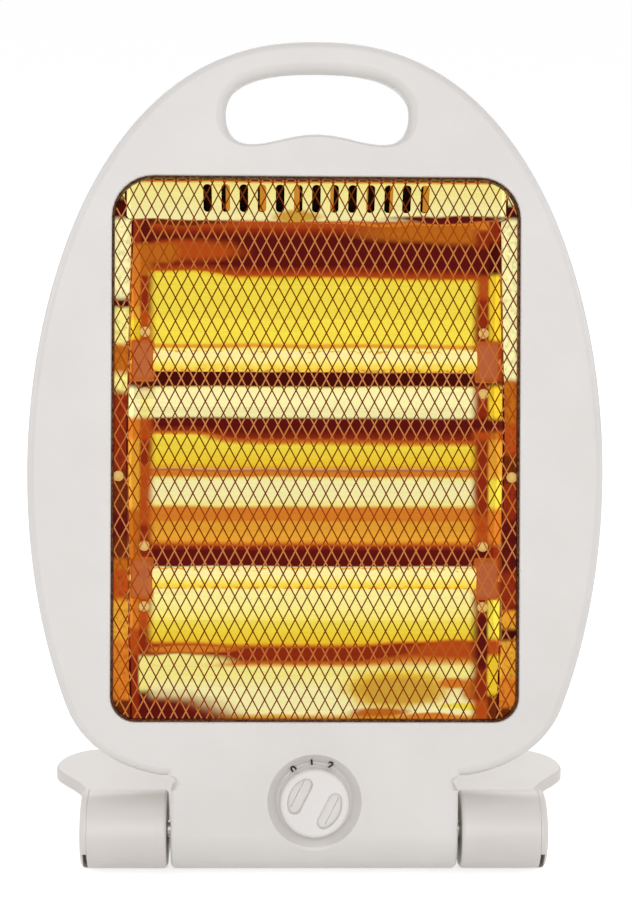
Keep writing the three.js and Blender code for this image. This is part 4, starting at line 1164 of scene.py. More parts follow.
@dataclass
class Dial:
    """The knob in its dish, with the three numbers that it points at."""

    knob_finish: bpy.types.Material
    ink: bpy.types.Material
    radius: float = 15.5
    foot_radius: float = 16.3
    proud: float = 5.8
    base: float = -13.6
    edge: float = 1.5
    bar_half: float = 4.4
    finger_radius: float = 12.4
    finger_corner: float = 3.0
    finger_depth: float = 4.2
    socket_radius: float = 3.3
    points_at: float = 27.0
    number_height: float = 4.1
    em: float = 1.36  # a number's type size for its height
    stroke: float = 0.16
    relief: float = 0.4
    sunk: float = 0.03  # how far the numbers' middle lies in front of the casing's face
    # Each number with its place from the dial's centre and its turn, clockwise.
    numbers: tuple[tuple[str, float, float, float], ...] = (
        ("0", -9.3, 13.7, -33.0), ("1", -1.2, 16.6, -5.0), ("2", 7.1, 15.7, 25.0),
    )

    def finger(self, side: int) -> Solid:
        """The tool for one D-shaped finger hollow with rounded corners and floor."""
        r, a, corner = self.finger_radius, self.bar_half, self.finger_corner
        offset = a + corner
        reach = r - corner
        lift = math.sqrt(reach * reach - offset * offset)
        turn = math.degrees(math.atan2(lift, offset))
        outline = arc((0.0, 0.0), r, -turn, turn, 24)
        outline += arc((offset, lift), corner, turn, 180, 8)
        outline += arc((offset, -lift), corner, 180, 360 - turn, 8)
        if side < 0:
            outline = [(-x, z) for x, z in reversed(outline)]
        top = LAYOUT.front - self.proud
        floor = top + self.finger_depth
        steps = [(-0.35, top - PAST), (-0.35, top), (-0.1, top + 0.12), (0.0, top + 0.4)]
        steps += [(deep, floor - across) for across, deep in quarter(4)]
        return loft([ring_at(inset(outline, inward), depth) for inward, depth in (*steps, (1.3, floor))])

    def knob(self) -> Solid:
        """The knob in its own frame, its pointer up."""
        top, foot = LAYOUT.front - self.proud, self.base
        skirt = [(0.0, foot), (self.foot_radius, foot), (self.foot_radius, foot - 0.7)]
        profile = [*skirt, (self.radius, foot - 2.0), (self.radius, top), (0.0, top)]
        rounded = softened(profile, (0, 0.2, 0.3, 0.6, self.edge, 0), 6)
        socket = rod(self.socket_radius, foot - 6.0, foot + PAST, 32)
        return turned(rounded, 96).cut(self.finger(1), self.finger(-1), socket)

    def number(self, text: str, x: float, z: float, turn: float) -> Solid:
        """A raised number of heavy strokes, printed on the casing's face."""
        curve = bpy.data.curves.new("number", "FONT")
        curve.body = text
        curve.align_x, curve.align_y = "CENTER", "CENTER"
        curve.size = self.number_height * self.em
        curve.offset = self.stroke
        curve.extrude = self.relief
        curve.resolution_u = 6
        letter = linked("number", curve)
        bpy.context.view_layer.update()
        drawn = letter.evaluated_get(bpy.context.evaluated_depsgraph_get()).to_mesh()
        solid = Solid([tuple(v.co) for v in drawn.vertices], [tuple(f.vertices) for f in drawn.polygons])
        bpy.data.objects.remove(letter)
        solid.turn(90, "X").turn(turn, "Y").move(x, 0, z)
        mesh = solid.obj.data
        work = bmesh.new()
        work.from_mesh(mesh)
        bmesh.ops.subdivide_edges(work, edges=work.edges, cuts=2)
        for vertex in work.verts:
            inward = LAYOUT.dial_mouth - math.hypot(vertex.co.x, vertex.co.z)
            fall = min(max(inward / (LAYOUT.dial_mouth - LAYOUT.dial_floor), 0.0), 1.0)
            vertex.co.y += LAYOUT.front + LAYOUT.dial_depth * fall - self.sunk
        work.to_mesh(mesh)
        work.free()
        return solid.move(z=up(LAYOUT.dial_height))

    def build(self, where: Matrix) -> None:
        """Builds the knob and the numbers."""
        spin = Matrix.Rotation(math.radians(self.points_at), 4, "Y")
        at = where @ Matrix.Translation((0, 0, up(LAYOUT.dial_height) * MM)) @ spin
        Piece("dial_knob", Body.KNOB, Slot.KNOB, self.knob_finish, ("knob",)).place(self.knob(), at)
        for text, x, z, turn in self.numbers:
            number = self.number(text, x, z, turn)
            Piece(f"number_{text}", Body.HEATER, Slot.BAKELITE, self.ink).place(number, where)


@dataclass
class Foot:
    """The foot: a hollow plate that rises into two hubs, with its caps and pads."""

    finish: bpy.types.Material
    rubber: bpy.types.Material
    height: float = 5.5
    skin: float = 2.6
    rib: float = 2.4
    edge: float = 1.2
    waist: float = 109.0
    flare_start: float = 84.0
    flare: float = 130.0
    flare_depth: float = 117.0
    corner_half: float = 112.0
    corner_depth: float = 139.0
    rear: float = 146.0
    slot_depth: float = 42.0
    slot_round: float = 8.0
    hub_wall: float = 2.6
    hub_rounding: Point = (1.6, 0.2)
    cap_length: float = 3.0
    cap_round: float = 2.4
    seam: float = 0.05
    notch_width: float = 1.9
    notch_low: float = -14.1
    notch_high: float = -4.7
    pad_radius: float = 6.0
    pad_height: float = 2.0
    pad_proud: float = 0.8
    pad_rounding: Point = (0.5, 0.1)
    play: float = 0.3  # round the pins and the pads
    pads: tuple[tuple[str, float, float], ...] = (
        ("front_left", -86.0, 24.0), ("front_right", 86.0, 24.0),
        ("rear_left", -92.0, 127.0), ("rear_right", 92.0, 127.0),
    )

    def outline(self, steps: int = 14) -> Outline:
        """The plate's outline in x and in distance behind the hubs' front."""
        start = LAYOUT.radius
        behind = 2 * LAYOUT.radius + LAYOUT.clearance
        wide = LAYOUT.hub_end + LAYOUT.clearance + self.cap_length
        waist, flare, swing, corner = self.waist, self.flare, self.flare_start, self.corner_half
        inner, outer = LAYOUT.hub_start, LAYOUT.hub_end
        right = [(inner, start), (outer, start), (outer, behind), (wide, behind)]
        way = [
            (wide, behind), (wide, behind + 10), (waist, swing - 20), (waist + 3, swing),
            (waist + 6, swing + 16), (flare, self.flare_depth - 10), (flare, self.flare_depth),
            (flare, self.flare_depth + 12), (corner + 9, self.corner_depth - 2), (corner, self.corner_depth),
            (corner / 2, self.rear), (corner / 5, self.rear), (0, self.rear),
        ]
        for first in range(0, len(way) - 1, 3):
            right += bezier(*way[first:first + 4], steps)[1:]
        centre = (inner - self.slot_round, self.slot_depth - self.slot_round)
        return mirrored([(0.0, self.slot_depth), *arc(centre, self.slot_round, 90, 0, 8), *right])

    def slab(self, outline: Outline, low: float, high: float, rounding: float = 0.0) -> Solid:
        """A level slab over an outline, its upper edge rounded."""
        rings = [[(x, y, low) for x, y in outline]]
        for across, deep in quarter(5) if rounding else [(0.0, 0.0)]:
            moved = inset(outline, rounding * deep)
            rings.append([(x, y, high - rounding * across) for x, y in moved])
        return loft(rings)

    def body(self) -> Solid:
        """The moulding itself."""
        bottom = -LAYOUT.radius
        top = bottom + self.height
        outline = [(x, y + bottom) for x, y in self.outline()]
        pocket = self.slab(inset(outline, self.skin), bottom - PAST, top - self.skin)
        plate = self.slab(outline, bottom, top, self.edge).cut(pocket)
        rib = block((-self.rib / 2, self.slot_depth + bottom + PAST, bottom),
                    (self.rib / 2, self.rear + bottom - PAST, top - PAST))
        plate.join(rib)
        for side in Side:
            hub = drum(LAYOUT.radius, LAYOUT.hub_start, LAYOUT.hub_end, self.hub_rounding, (5, 96))
            plate.join(along_x(hub).for_side(side))
        for _, x, depth in self.pads:
            boss = rod(self.pad_radius + self.skin, 0, self.height - PAST / 2, 32).turn(90, "X")
            plate.join(boss.move(x, depth + bottom, bottom))
        tools = []
        for side in Side:
            start, inside = LAYOUT.hub_start, LAYOUT.hub_start + self.hub_wall
            hollow = along_x(rod(LAYOUT.radius - self.hub_wall, inside, LAYOUT.hub_end + PAST, 64))
            hole = along_x(rod(LAYOUT.pin_radius + self.play, start - PAST, inside + PAST, 32))
            tools += [hollow.for_side(side), hole.for_side(side)]
        for _, x, depth in self.pads:
            deep = self.pad_height - self.pad_proud + self.play
            recess = rod(self.pad_radius + self.play, -PAST, deep, 32)
            tools.append(recess.turn(90, "X").move(x, depth + bottom, bottom))
        return plate.cut(*tools)

    def cap(self) -> Solid:
        """A hub's end cap for the right, with its rounded edge and the notch for prying it off."""
        inner = LAYOUT.hub_end + self.seam
        spigot = LAYOUT.radius - self.hub_wall - LAYOUT.clearance
        outer = LAYOUT.hub_end + LAYOUT.clearance + self.cap_length
        profile = [(0.0, inner - 4), (spigot, inner - 4), (spigot, inner), (LAYOUT.radius, inner),
                   (LAYOUT.radius, outer), (0.0, outer)]
        body = along_x(turned(softened(profile, (0, 0.4, 0, 0.02, self.cap_round, 0), 7), 96))
        notch = block((LAYOUT.hub_end - PAST, -3 * LAYOUT.radius, self.notch_low),
                      (inner + self.notch_width, -LAYOUT.radius * 0.2, self.notch_high))
        return body.cut(notch)

    def build(self, where: Matrix) -> None:
        """Builds the foot with its caps and pads."""
        Piece("foot_moulding", Body.STAND, Slot.FOOT, self.finish, ("foot",), 26).place(self.body(), where)
        for side in Side:
            node = f"hub_cap_{side.word}"
            cap = Piece(f"end_disc_{side.word}", Body.STAND, Slot.FOOT, self.finish, (node,))
            cap.place(self.cap().for_side(side), where)
        bottom = -LAYOUT.radius - self.pad_proud
        for word, x, depth in self.pads:
            disc = drum(self.pad_radius, 0.0, self.pad_height, self.pad_rounding, (4, 40)).turn(90, "X")
            pad = Piece(f"sole_{word}", Body.STAND, Slot.RUBBER, self.rubber, (f"pad_{word}",))
            pad.place(disc.move(x, depth - LAYOUT.radius, bottom), where)


@dataclass
class BackFittings:
    """What shows at the back: the casing's screws and the cord gland."""

    zinc: bpy.types.Material
    phenolic: bpy.types.Material
    bore: float = 4.2
    flange_height: float = 2.5
    length: float = 9.0

    def screw(self) -> Solid:
        """A casing screw that points forward, with a cross in its head."""
        shank, head = FORM.screw_shank, FORM.screw_head
        profile = [(shank, -15.0), (shank, 0.0), (head, 0.0), (head, 1.2), (2.4, 1.85), (1.0, 2.0)]
        return turned(profile, 32).cut(*cross_slots(1.6, 0.35, 1.1, 3.0))

    def gland(self) -> Solid:
        """The gland with its rounded flange."""
        bore, neck, flange, high = self.bore, LAYOUT.gland_neck, LAYOUT.gland_flange, self.flange_height
        profile = [(bore, -self.length), (neck, -self.length), (neck, 0.0), (flange, 0.0), (flange, 1.2),
                   (flange - 1.2, high), (bore + 0.6, high), (bore, high - 0.6)]
        return turned(profile, 56, hollow=True)

    def build(self, where: Matrix) -> None:
        """Builds the screws and the gland."""
        words = [f"{level}_{side}" for level in ("top", "middle", "bottom") for side in ("left", "right")]
        for word, (x, z) in zip(words, FORM.screws()):
            node = f"casing_screw_{word}"
            piece = Piece(f"back_screw_{word}", Body.HEATER, Slot.STEEL, self.zinc, (node,))
            piece.place(self.screw().move(x, LAYOUT.split + FORM.screw_seat + LAYOUT.clearance, z), where)
        depth = LAYOUT.split + LAYOUT.gland_seat + LAYOUT.clearance
        piece = Piece("gland_ring", Body.HEATER, Slot.BAKELITE, self.phenolic, ("cord_gland",))
        piece.place(self.gland().move(LAYOUT.gland_half, depth, up(LAYOUT.gland_height)), where)


# ------------------------------------------------------------------ finishes

Tree = bpy.types.NodeTree
Node = bpy.types.Node
Stops = Iterable[tuple[float, str]]
Wave = tuple[Point, float]
WHITE = (1.0, 1.0, 1.0, 1.0)


class Tone(str, Enum):
    """Painted window colours, from the hottest painted reflections to the painted shade of folds facing
    away.
    """

    CREAM = "#FBF1AC"
    PALE = "#F9EC8A"
    LEMON = "#F5DE48"
    GOLD = "#F1CA30"
    AMBER = "#E5A033"
    ORANGE = "#D87C28"
    RUST = "#BE671C"
    EMBER = "#B84A18"
    BRICK = "#8E2C14"
    BROWN = "#6A2A10"
    MAROON = "#5C1612"
    DARK = "#45100C"
    ROSE = "#EBB488"
    OCHRE = "#CFA03A"


def linear(code: str) -> tuple[float, float, float, float]:
    """Turns an sRGB hex colour into linear values."""
    parts = [int(code[i:i + 2], 16) / 255 for i in (1, 3, 5)]
    curve = [p / 12.92 if p <= 0.04045 else ((p + 0.055) / 1.055) ** 2.4 for p in parts]
    return (*curve, 1.0)


def add(tree: Tree, kind: str, settings: dict[str, Any] | None = None,
        inputs: dict[Any, Any] | None = None) -> Node:
    """Adds a node with its settings and links.

    Args:
        tree: The node tree.
        kind: The node's type, without its prefix.
        settings: The node's own settings; "stops" fills a colour ramp with pairs of place and colour.
        inputs: A value for each input, by name or number: a node, an output, a number or a colour.

    Returns:
        The node.
    """
    node = tree.nodes.new(kind if kind.startswith("NodeGroup") else f"ShaderNode{kind}")
    for key, value in (settings or {}).items():
        if key != "stops":
            setattr(node, key, value)
            continue
        elements = node.color_ramp.elements
        while len(elements) < len(value):
            elements.new(1.0)
        for element, (at, colour) in zip(elements, value):
            element.position = at
            element.color = colour
    for key, value in (inputs or {}).items():
        if isinstance(value, Node):
            value = next(out for out in value.outputs if out.enabled)
        if isinstance(value, bpy.types.NodeSocket):
            tree.links.new(value, node.inputs[key])
        else:
            node.inputs[key].default_value = value
    return node


@dataclass
class Painter:
    """Adds the usual nodes of a finish to one tree; a value is a node, an output or a number."""

    tree: Tree

    def math(self, operation: str, *values: Any) -> Node:
        """A calculation."""
        return add(self.tree, "Math", {"operation": operation}, dict(enumerate(values)))

    def vector(self, operation: str, *values: Any) -> Node:
        """A calculation with vectors."""
        return add(self.tree, "VectorMath", {"operation": operation}, dict(enumerate(values)))

    def span(self, value: Any, low: float, high: float, to: Point = (0.0, 1.0), **settings: Any) -> Node:
        """A value of one range, carried over to another."""
        ends = {"From Min": low, "From Max": high, "To Min": to[0], "To Max": to[1]}
        return add(self.tree, "MapRange", settings, {"Value": value, **ends})

    def step(self, value: Any, low: float, high: float, top: float = 1.0) -> Node:
        """A soft step from 0 at low to its top at high."""
        return self.span(value, low, high, (0.0, top), interpolation_type="SMOOTHSTEP")

    def ramp(self, place: Any, stops: Stops) -> Node:
        """The colour at a place among stops."""
        filled = [(at, linear(code)) for at, code in stops]
        return add(self.tree, "ValToRGB", {"stops": filled}, {"Fac": place})

    def mix(self, share: Any, under: Any, over: Any, blend: str = "MIX") -> Node:
        """One colour over another."""
        settings = {"data_type": "RGBA", "blend_type": blend}
        return add(self.tree, "Mix", settings, {0: share, 6: under, 7: over})

    def noise(self, at: Any, scale: float, detail: float, **more: float) -> Node:
        """A noise, of so many clouds in a millimetre."""
        return add(self.tree, "TexNoise", {}, {"Vector": at, "Scale": scale, "Detail": detail, **more})

    def bump(self, height: Any, strength: float, depth: float) -> Node:
        """A relief whose depth is in millimetres."""
        return add(self.tree, "Bump", {}, {"Height": height, "Strength": strength, "Distance": depth * MM})

    def uneven(self, pattern: Node, rough: Point, relief: Point) -> dict[str, Node]:
        """Roughness and relief, as shader inputs, that follow one noise.

        Args:
            pattern: The noise.
            rough: The roughness where it is low and where it is high.
            relief: The relief's strength and depth.

        Returns:
            The two inputs.
        """
        return {"Roughness": self.span(pattern, 0.3, 0.7, rough), "Normal": self.bump(pattern, *relief)}

    def shader(self, colour: Any, inputs: dict[str, Any]) -> Node:
        """The surface shader."""
        return add(self.tree, "BsdfPrincipled", {}, {"Base Color": colour, **inputs})


@dataclass(frozen=True)
class Finish:
    """A surface finish: its name and the frame in whose millimetres it is painted."""

    name: str
    where: Matrix

    def surface(self, paint: Painter, at: Node) -> Node:
        """Adds the finish's nodes.

        Args:
            paint: What adds them to the material's tree.
            at: The place on the surface, in millimetres.

        Returns:
            The shader.
        """
        raise NotImplementedError

    def material(self) -> bpy.types.Material:
        """Makes the material."""
        material = bpy.data.materials.new(self.name)
        material.use_nodes = True
        # What glows is seen, but isn't aimed at as a lamp: it is too fine to sample.
        material.cycles.emission_sampling = "NONE"
        tree = material.node_tree
        tree.nodes.clear()
        at = add(tree, "Mapping", {"vector_type": "TEXTURE"}, {
            "Vector": add(tree, "TexCoord").outputs["Object"], "Location": self.where.translation,
            "Rotation": self.where.to_euler(), "Scale": (MM, MM, MM)})
        add(tree, "OutputMaterial", {}, {"Surface": self.surface(Painter(tree), at)})
        return material


@dataclass(frozen=True)
class MouldedAbs(Finish):
    """Injection-moulded ABS: even warm off-white, softly glossy over a fine spark-eroded grain."""

    colour: str
    shade: str
    grain: float = 0.5  # millimetres; the tool's real grain is 0.1 and would not show
    cloud: float = 42.0  # millimetres, of the faint unevenness of the melt

    def surface(self, paint: Painter, at: Node) -> Node:
        """The plastic's shader."""
        tint = paint.ramp(paint.noise(at, 1 / self.cloud, 3.0), ((0.3, self.shade), (0.7, self.colour)))
        grain = paint.noise(at, 1 / self.grain, 2.0)
        return paint.shader(tint, {"IOR": 1.54, **paint.uneven(grain, (0.34, 0.46), (0.12, 0.02))})


def bands(text: str) -> list[tuple[float, Tone]]:
    """Reads bands of paint from the bottom up, each as a height and its tone."""
    words = text.split()
    return [(float(height), Tone[tone]) for height, tone in zip(words[::2], words[1::2])]


@dataclass(frozen=True)
class Strips:
    """Two upright strips of paint, one outside each of two edges, with the heights where tones begin."""

    left: str
    right: str
    edges: Point
    soft: float  # half the width over which the paint runs together with what lies between the edges


@dataclass
class Glow(Painter):
    """The window's painted light, as a group of nodes that turns millimetres into a colour.

    Bright rolled aluminium mirrors the tubes many times over: each fold of the dish holds a level band of
    cream, gold or dark red. These bands are painted reflections of the tubes and painted shade of the
    folds, given off as emission. They are laid down as they line up for the photograph's eye, and then
    stay on the metal. Their heights and places are those of the front plane as that eye sees it.
    """

    eye: tuple[float, float, float] = (-20.0, 900.0, 190.05)  # x, distance and height
    middle: float = 189.6
    stretch: float = 1.0055
    seam: float = 183.0  # where the lower bands end and the upper bands begin
    ends: Point = (66.0, 318.0)
    # Painted reflections and painted shade on the dish's face, as heights and tones from the bottom up,
    # below the seam and above it.
    low_bands: str = """67.5 EMBER 70 AMBER 71.6 CREAM 82.2 CREAM 88.6 PALE 92.3 PALE 93.9 ORANGE 95.9 BRICK
        101.2 BRICK 102.4 ORANGE 103.7 GOLD 111.5 LEMON 119.8 PALE 138.6 CREAM 139.3 MAROON 146 MAROON
        148 BRICK 149.6 ORANGE 150.8 AMBER 159 AMBER 160 ORANGE 165.5 ORANGE 167.3 PALE 170.7 CREAM
        177.6 CREAM 179.2 PALE 180.4 ORANGE 182.5 ORANGE 182.9 MAROON 183.4 ROSE 183.8 AMBER"""
    high_bands: str = """182.9 MAROON 183.4 ROSE 183.8 AMBER 185.9 GOLD 194.2 LEMON 195.8 ORANGE 197.8 BRICK
        201.5 MAROON 206.6 MAROON 207.6 CREAM 219.9 CREAM 221 PALE 221.7 DARK 227.9 DARK 228.6 PALE
        238.7 PALE 239.3 AMBER 240.5 AMBER 241.4 LEMON 269.4 LEMON 271 GOLD 272 EMBER 274.5 BRICK
        276.8 MAROON 289.6 MAROON 292.8 BRICK 295.6 EMBER 297 EMBER 297.9 CREAM 314.4 PALE
        315.3 ORANGE 315.8 MAROON"""
    # How far the bands sag at the left and at the right, and how far out the flanges begin, by height.
    sags: tuple[tuple[float, float, float, float], ...] = (
        (66, 0, 0, -1.2), (92, 0, 0, -0.5), (100, 2.2, 4.0, -0.3), (109, 0, 0, 0), (190, 0, 0, 1.1),
        (199, 4.6, -0.8, 1.2), (206.4, 0, 0, 1.1), (262, 0, 0, 0), (273, 3.4, -0.8, -0.4),
        (280, 1.0, -1.5, -0.5), (296, 0, 0, -0.8), (297.4, 0, 0, -0.8), (298.6, 0, 0, 2.3), (318, 0, 0, 2.3),
    )
    most_sag: float = 5.0
    # Soft-edged spots of painted reflection and painted shade, each as x, height, half width, half height
    # and tone.
    face_spots: str = """-76 68 40 13 BRICK; -77 67.5 36 10.5 MAROON; 37 83 25 9 GOLD; 38 82 22 7.5 OCHRE;
        75 82.5 9 6 RUST; 64 85 8 2.6 ORANGE; 70 75 14 1.8 LEMON; 30 72 14 2.6 RUST; 54 69.5 14 1.8 ORANGE;
        -58 101 24 2 ORANGE; -62 95.6 24 3 PALE; -58 283.5 25 5.6 EMBER; -69.5 281.9 8 4.6 RUST;
        -9 299.6 12 2.6 OCHRE; -64 296.6 26 1.2 BROWN; 66 292.2 48 5.2 RUST; 62 298.6 30 2 MAROON;
        42 296.2 48 0.6 ORANGE; 64 101 20 4.4 EMBER"""
    # The painted reflections and painted shade of the folded ends of the dish, its end walls and the
    # flanges.
    band: Strips = Strips(
        """66 MAROON 82 PALE 98 BRICK 110 EMBER 130 BRICK 158 EMBER 185 BRICK 196 EMBER 207 PALE
        221 DARK 224.5 EMBER 255 BRICK 273 RUST 286 MAROON""",
        """66 EMBER 78 BRICK 92 MAROON 117 BRICK 143 MAROON 148 EMBER 163 BRICK 197 EMBER 201 MAROON
        207 BRICK 222 DARK 224.5 BRICK 262 EMBER 273 MAROON 286 BRICK 293 ORANGE""", (-75.2, 72.8), 2.4)
    wall: Strips = Strips(
        """66 BRICK 98 EMBER 110 ORANGE 125 RUST 165 AMBER 197 ORANGE 207 CREAM 221 MAROON
        224.5 ORANGE 243 GOLD 252 AMBER 258 ORANGE 286 BRICK""",
        """66 BROWN 80 GOLD 98 EMBER 106 LEMON 124 BRICK 149 ORANGE 166 LEMON 179.5 AMBER 197 RUST
        201 MAROON 207 GOLD 221.7 DARK 224.5 BRICK 243 GOLD 273 DARK 288 BRICK""", (-80.6, 79.4), 0.9)
    flange: Strips = Strips(
        """66 BROWN 78 ORANGE 105 AMBER 123.5 EMBER 137.3 RUST 142 BROWN 152 MAROON 164 BROWN
        183 BRICK 219 PALE 227 RUST 240.5 PALE 257.5 DARK 262.1 CREAM 298 DARK 308 PALE""",
        """66 BROWN 74 ORANGE 88 AMBER 105 DARK 111 AMBER 118 BRICK 137 MAROON 160 BRICK 178 BROWN
        190 EMBER 204 RUST 224.5 CREAM 298 DARK 305.5 CREAM""", (-85.2, 85.2), 0.3)
    soft: float = 1.1  # half the height over which two tones of a strip run together
    # Slow noises, each with its width, its height and how much it moves or lightens at most.
    rise: Wave = ((34.0, 9.0), 1.6)
    drift: Wave = ((9.0, 16.0), 2.2)
    foil: Wave = ((1.9, 2.6), 0.42)
    streaks: Wave = ((26.0, 1.3), 0.07)
    speckle: Wave = ((0.9, 0.9), 0.08)
    brow: Point = (298.2, 297.2)  # the fold above which neither folded ends nor end walls show

    def share(self, height: float) -> float:
        """A height's place between the window's ends, from 0 to 1."""
        return (height - self.ends[0]) / (self.ends[1] - self.ends[0])

    def scale_of(self, height: Node, text: str, low: float, high: float) -> Node:
        """The colour of one set of bands at a height."""
        stops = [((at - low) / (high - low), tone) for at, tone in bands(text)]
        return self.ramp(self.span(height, low, high), stops)

    def strip(self, height: Node, text: str) -> Node:
        """The colour of an upright strip at a height, with each tone held up to the next one."""
        steps = bands(text)
        stops = [(0.0, steps[0][1])]
        for (_, under), (at, over) in zip(steps, steps[1:]):
            stops += [(self.share(at - self.soft), under), (self.share(at + self.soft), over)]
        return self.ramp(self.span(height, *self.ends), stops)

    def beside(self, inner: Node, x: Node, height: Node, strips: Strips, dimmed: Node | None = None) -> Node:
        """Lays two upright strips over a colour.

        Args:
            inner: The colour between the strips.
            x: The place across.
            height: The place up.
            strips: The strips.
            dimmed: What darkens them, or None.

        Returns:
            The mixed colour.
        """
        for edge, way, text in zip(strips.edges, (-1, 1), (strips.left, strips.right)):
            colour = self.strip(height, text)
            if dimmed is not None:
                colour = self.scaled(colour, dimmed)
            cover = self.step(x, edge - way * strips.soft, edge + way * strips.soft)
            inner = self.mix(cover, inner, colour)
        return inner

    def scaled(self, colour: Node, light: Node) -> Node:
        """A colour made lighter or darker."""
        return add(self.tree, "VectorMath", {"operation": "SCALE"}, {0: colour, "Scale": light})

    def painted(self, under: Node, place: Node) -> Node:
        """Lays the soft-edged spots of painted reflection and painted shade over a colour."""
        for row in self.face_spots.split(";"):
            *numbers, tone = row.split()
            x, height, half_width, half_height = (float(number) for number in numbers)
            inside = add(self.tree, "Mapping", {"vector_type": "TEXTURE"}, {
                "Vector": place, "Location": (x, height, 0), "Scale": (half_width, half_height, 1)})
            far = self.vector("LENGTH", inside)
            under = self.mix(self.step(far.outputs["Value"], 1.25, 0.6), under, linear(Tone[tone]))
        return under

    def wander(self, place: Node, sizes: Point, most: float) -> Node:
        """A slow noise between minus and plus about a given most, with its own width and height."""
        noise = self.noise(self.vector("DIVIDE", place, (*sizes, 1.0)), 1.0, 2.5, Roughness=0.55)
        return self.span(noise, 0.2, 0.8, (-most, most), clamp=False)

    def seen_place(self, at: bpy.types.NodeSocket) -> tuple[Node, Node]:
        """Where the photograph's eye sees a point against the front plane, as x and height."""
        part = add(self.tree, "SeparateXYZ", {}, {0: at})
        eye_x, distance, eye_height = self.eye
        away = self.math("ADD", part.outputs["Y"], distance - LAYOUT.front)
        nearness = self.math("DIVIDE", distance * self.stretch, away)
        off_x = self.math("SUBTRACT", part.outputs["X"], eye_x)
        off_z = self.math("SUBTRACT", part.outputs["Z"], up(eye_height))
        return (self.math("MULTIPLY_ADD", off_x, nearness, eye_x),
                self.math("MULTIPLY_ADD", off_z, nearness, self.middle))

    def sagged(self, x: Node, height: Node) -> tuple[Node, Node]:
        """The height at which the bands are read, lowered where they sag, and the flanges' shift."""
        stops = []
        for at, *row in self.sags:
            stops.append((self.share(at), (*(0.5 + sag / self.most_sag / 2 for sag in row), 1.0)))
        table = add(self.tree, "ValToRGB", {"stops": stops}, {"Fac": self.span(height, *self.ends)})
        part = add(self.tree, "SeparateColor", {}, {0: table})
        for channel, near, far in (("Red", -34.0, -58.0), ("Green", 14.0, 46.0)):
            amount = self.math("SUBTRACT", part.outputs[channel], 0.5)
            share = self.step(x, near, far, -2 * self.most_sag)
            height = self.math("MULTIPLY_ADD", amount, share, height)
        return height, self.span(part.outputs["Blue"], 0.0, 1.0, (-self.most_sag, self.most_sag))

    def build(self) -> Tree:
        """Builds the group."""
        self.tree.interface.new_socket("Place", in_out="INPUT", socket_type="NodeSocketVector")
        self.tree.interface.new_socket("Colour", in_out="OUTPUT", socket_type="NodeSocketColor")
        x, height = self.seen_place(add(self.tree, "NodeGroupInput").outputs["Place"])
        place = add(self.tree, "CombineXYZ", {}, {0: x, 1: height})
        rise = self.wander(place, *self.rise)
        drift = self.wander(place, *self.drift)
        wavy_height = self.math("ADD", height, rise)
        wavy = add(self.tree, "CombineXYZ", {}, {0: self.math("ADD", x, drift), 1: wavy_height})
        # The bands keep straight edges where the sheet is folded, and waver a little between the folds.
        calm = self.math("MULTIPLY_ADD", rise, 0.3, height)
        read, shift = self.sagged(x, calm)
        low = self.scale_of(read, self.low_bands, self.ends[0], self.seam + 1)
        high = self.scale_of(read, self.high_bands, self.seam - 1, self.ends[1])
        face = self.painted(self.mix(self.math("GREATER_THAN", read, self.seam), low, high), wavy)
        sheet = self.beside(face, self.math("MULTIPLY_ADD", drift, 0.4, x), wavy_height, self.band)
        sheet = self.beside(sheet, self.math("MULTIPLY_ADD", drift, 0.12, x), calm, self.wall)
        sheet = self.mix(self.span(calm, *self.brow), face, sheet)
        fold = self.math("SUBTRACT", x, self.math("MULTIPLY", self.math("SIGN", x), shift))
        # The flanges' paint is lightened and darkened in small patches: painted light and shade of crumpled
        # foil.
        foil_light_and_shade = self.math("SUBTRACT", 0.95, self.wander(place, *self.foil))
        foil_light_and_shade.use_clamp = True
        whole = self.beside(sheet, fold, wavy_height, self.flange, foil_light_and_shade)
        # A dark line painted along the flanges' edges: painted shade in the fold.
        near = self.math("COMPARE", self.math("ABSOLUTE", fold), self.flange.edges[1], 0.5)
        whole = self.mix(near, whole, linear(Tone.DARK))
        # The streaks of the rolled sheet, along its length, and a fine speckle.
        streaks, speckle = self.wander(place, *self.streaks), self.wander(place, *self.speckle)
        light = self.math("ADD", self.math("ADD", streaks, speckle), 1.0)
        add(self.tree, "NodeGroupOutput", {}, {"Colour": self.scaled(whole, light)})
        return self.tree


@dataclass(frozen=True)
class LitMetal(Finish):
    """Bright metal or ceramic in the window: plain from behind; facing the front it gives off the painted
    light as emission.
    """

    glow: Tree
    plain: str
    strength: float = 0.88
    metallic: float = 1.0
    roughness: float = 0.26
    dent: float = 3.0  # millimetres between the shallow dents of the sheet
    depth: float = 0.12
    tones: tuple[tuple[float, str], ...] = ()  # brightness of the painted light behind the piece and the painted colour that it takes there
    base_under_paint: float = 0.05  # what is left of the base colour under the painted light

    def surface(self, paint: Painter, at: Node) -> Node:
        """The shader: the painted light glows as emission where the piece faces the front."""
        lit = add(paint.tree, "Group", {"node_tree": self.glow}, {"Place": at})
        if self.tones:
            lit = paint.ramp(add(paint.tree, "RGBToBW", {}, {0: lit}), self.tones)
        normal = add(paint.tree, "TexCoord").outputs["Normal"]
        facing = paint.vector("DOT_PRODUCT", normal, self.where.to_3x3() @ Vector((0, -1, 0)))
        # Faces that look to the front take the painted light as emission, over a dimmed base colour.
        side = paint.span(facing.outputs["Value"], -0.06, -0.03)
        tint = paint.mix(side, linear(self.plain), lit)
        dents = paint.noise(at, 1 / self.dent, 3.0)
        base = paint.mix(side, tint, (self.base_under_paint, self.base_under_paint, self.base_under_paint, 1.0), "MULTIPLY")
        rough = (self.roughness - 0.06, self.roughness + 0.06)
        return paint.shader(base, {
            "Metallic": self.metallic, **paint.uneven(dents, rough, (0.5, self.depth)),
            "Emission Color": tint, "Emission Strength": paint.math("MULTIPLY", side, self.strength)})


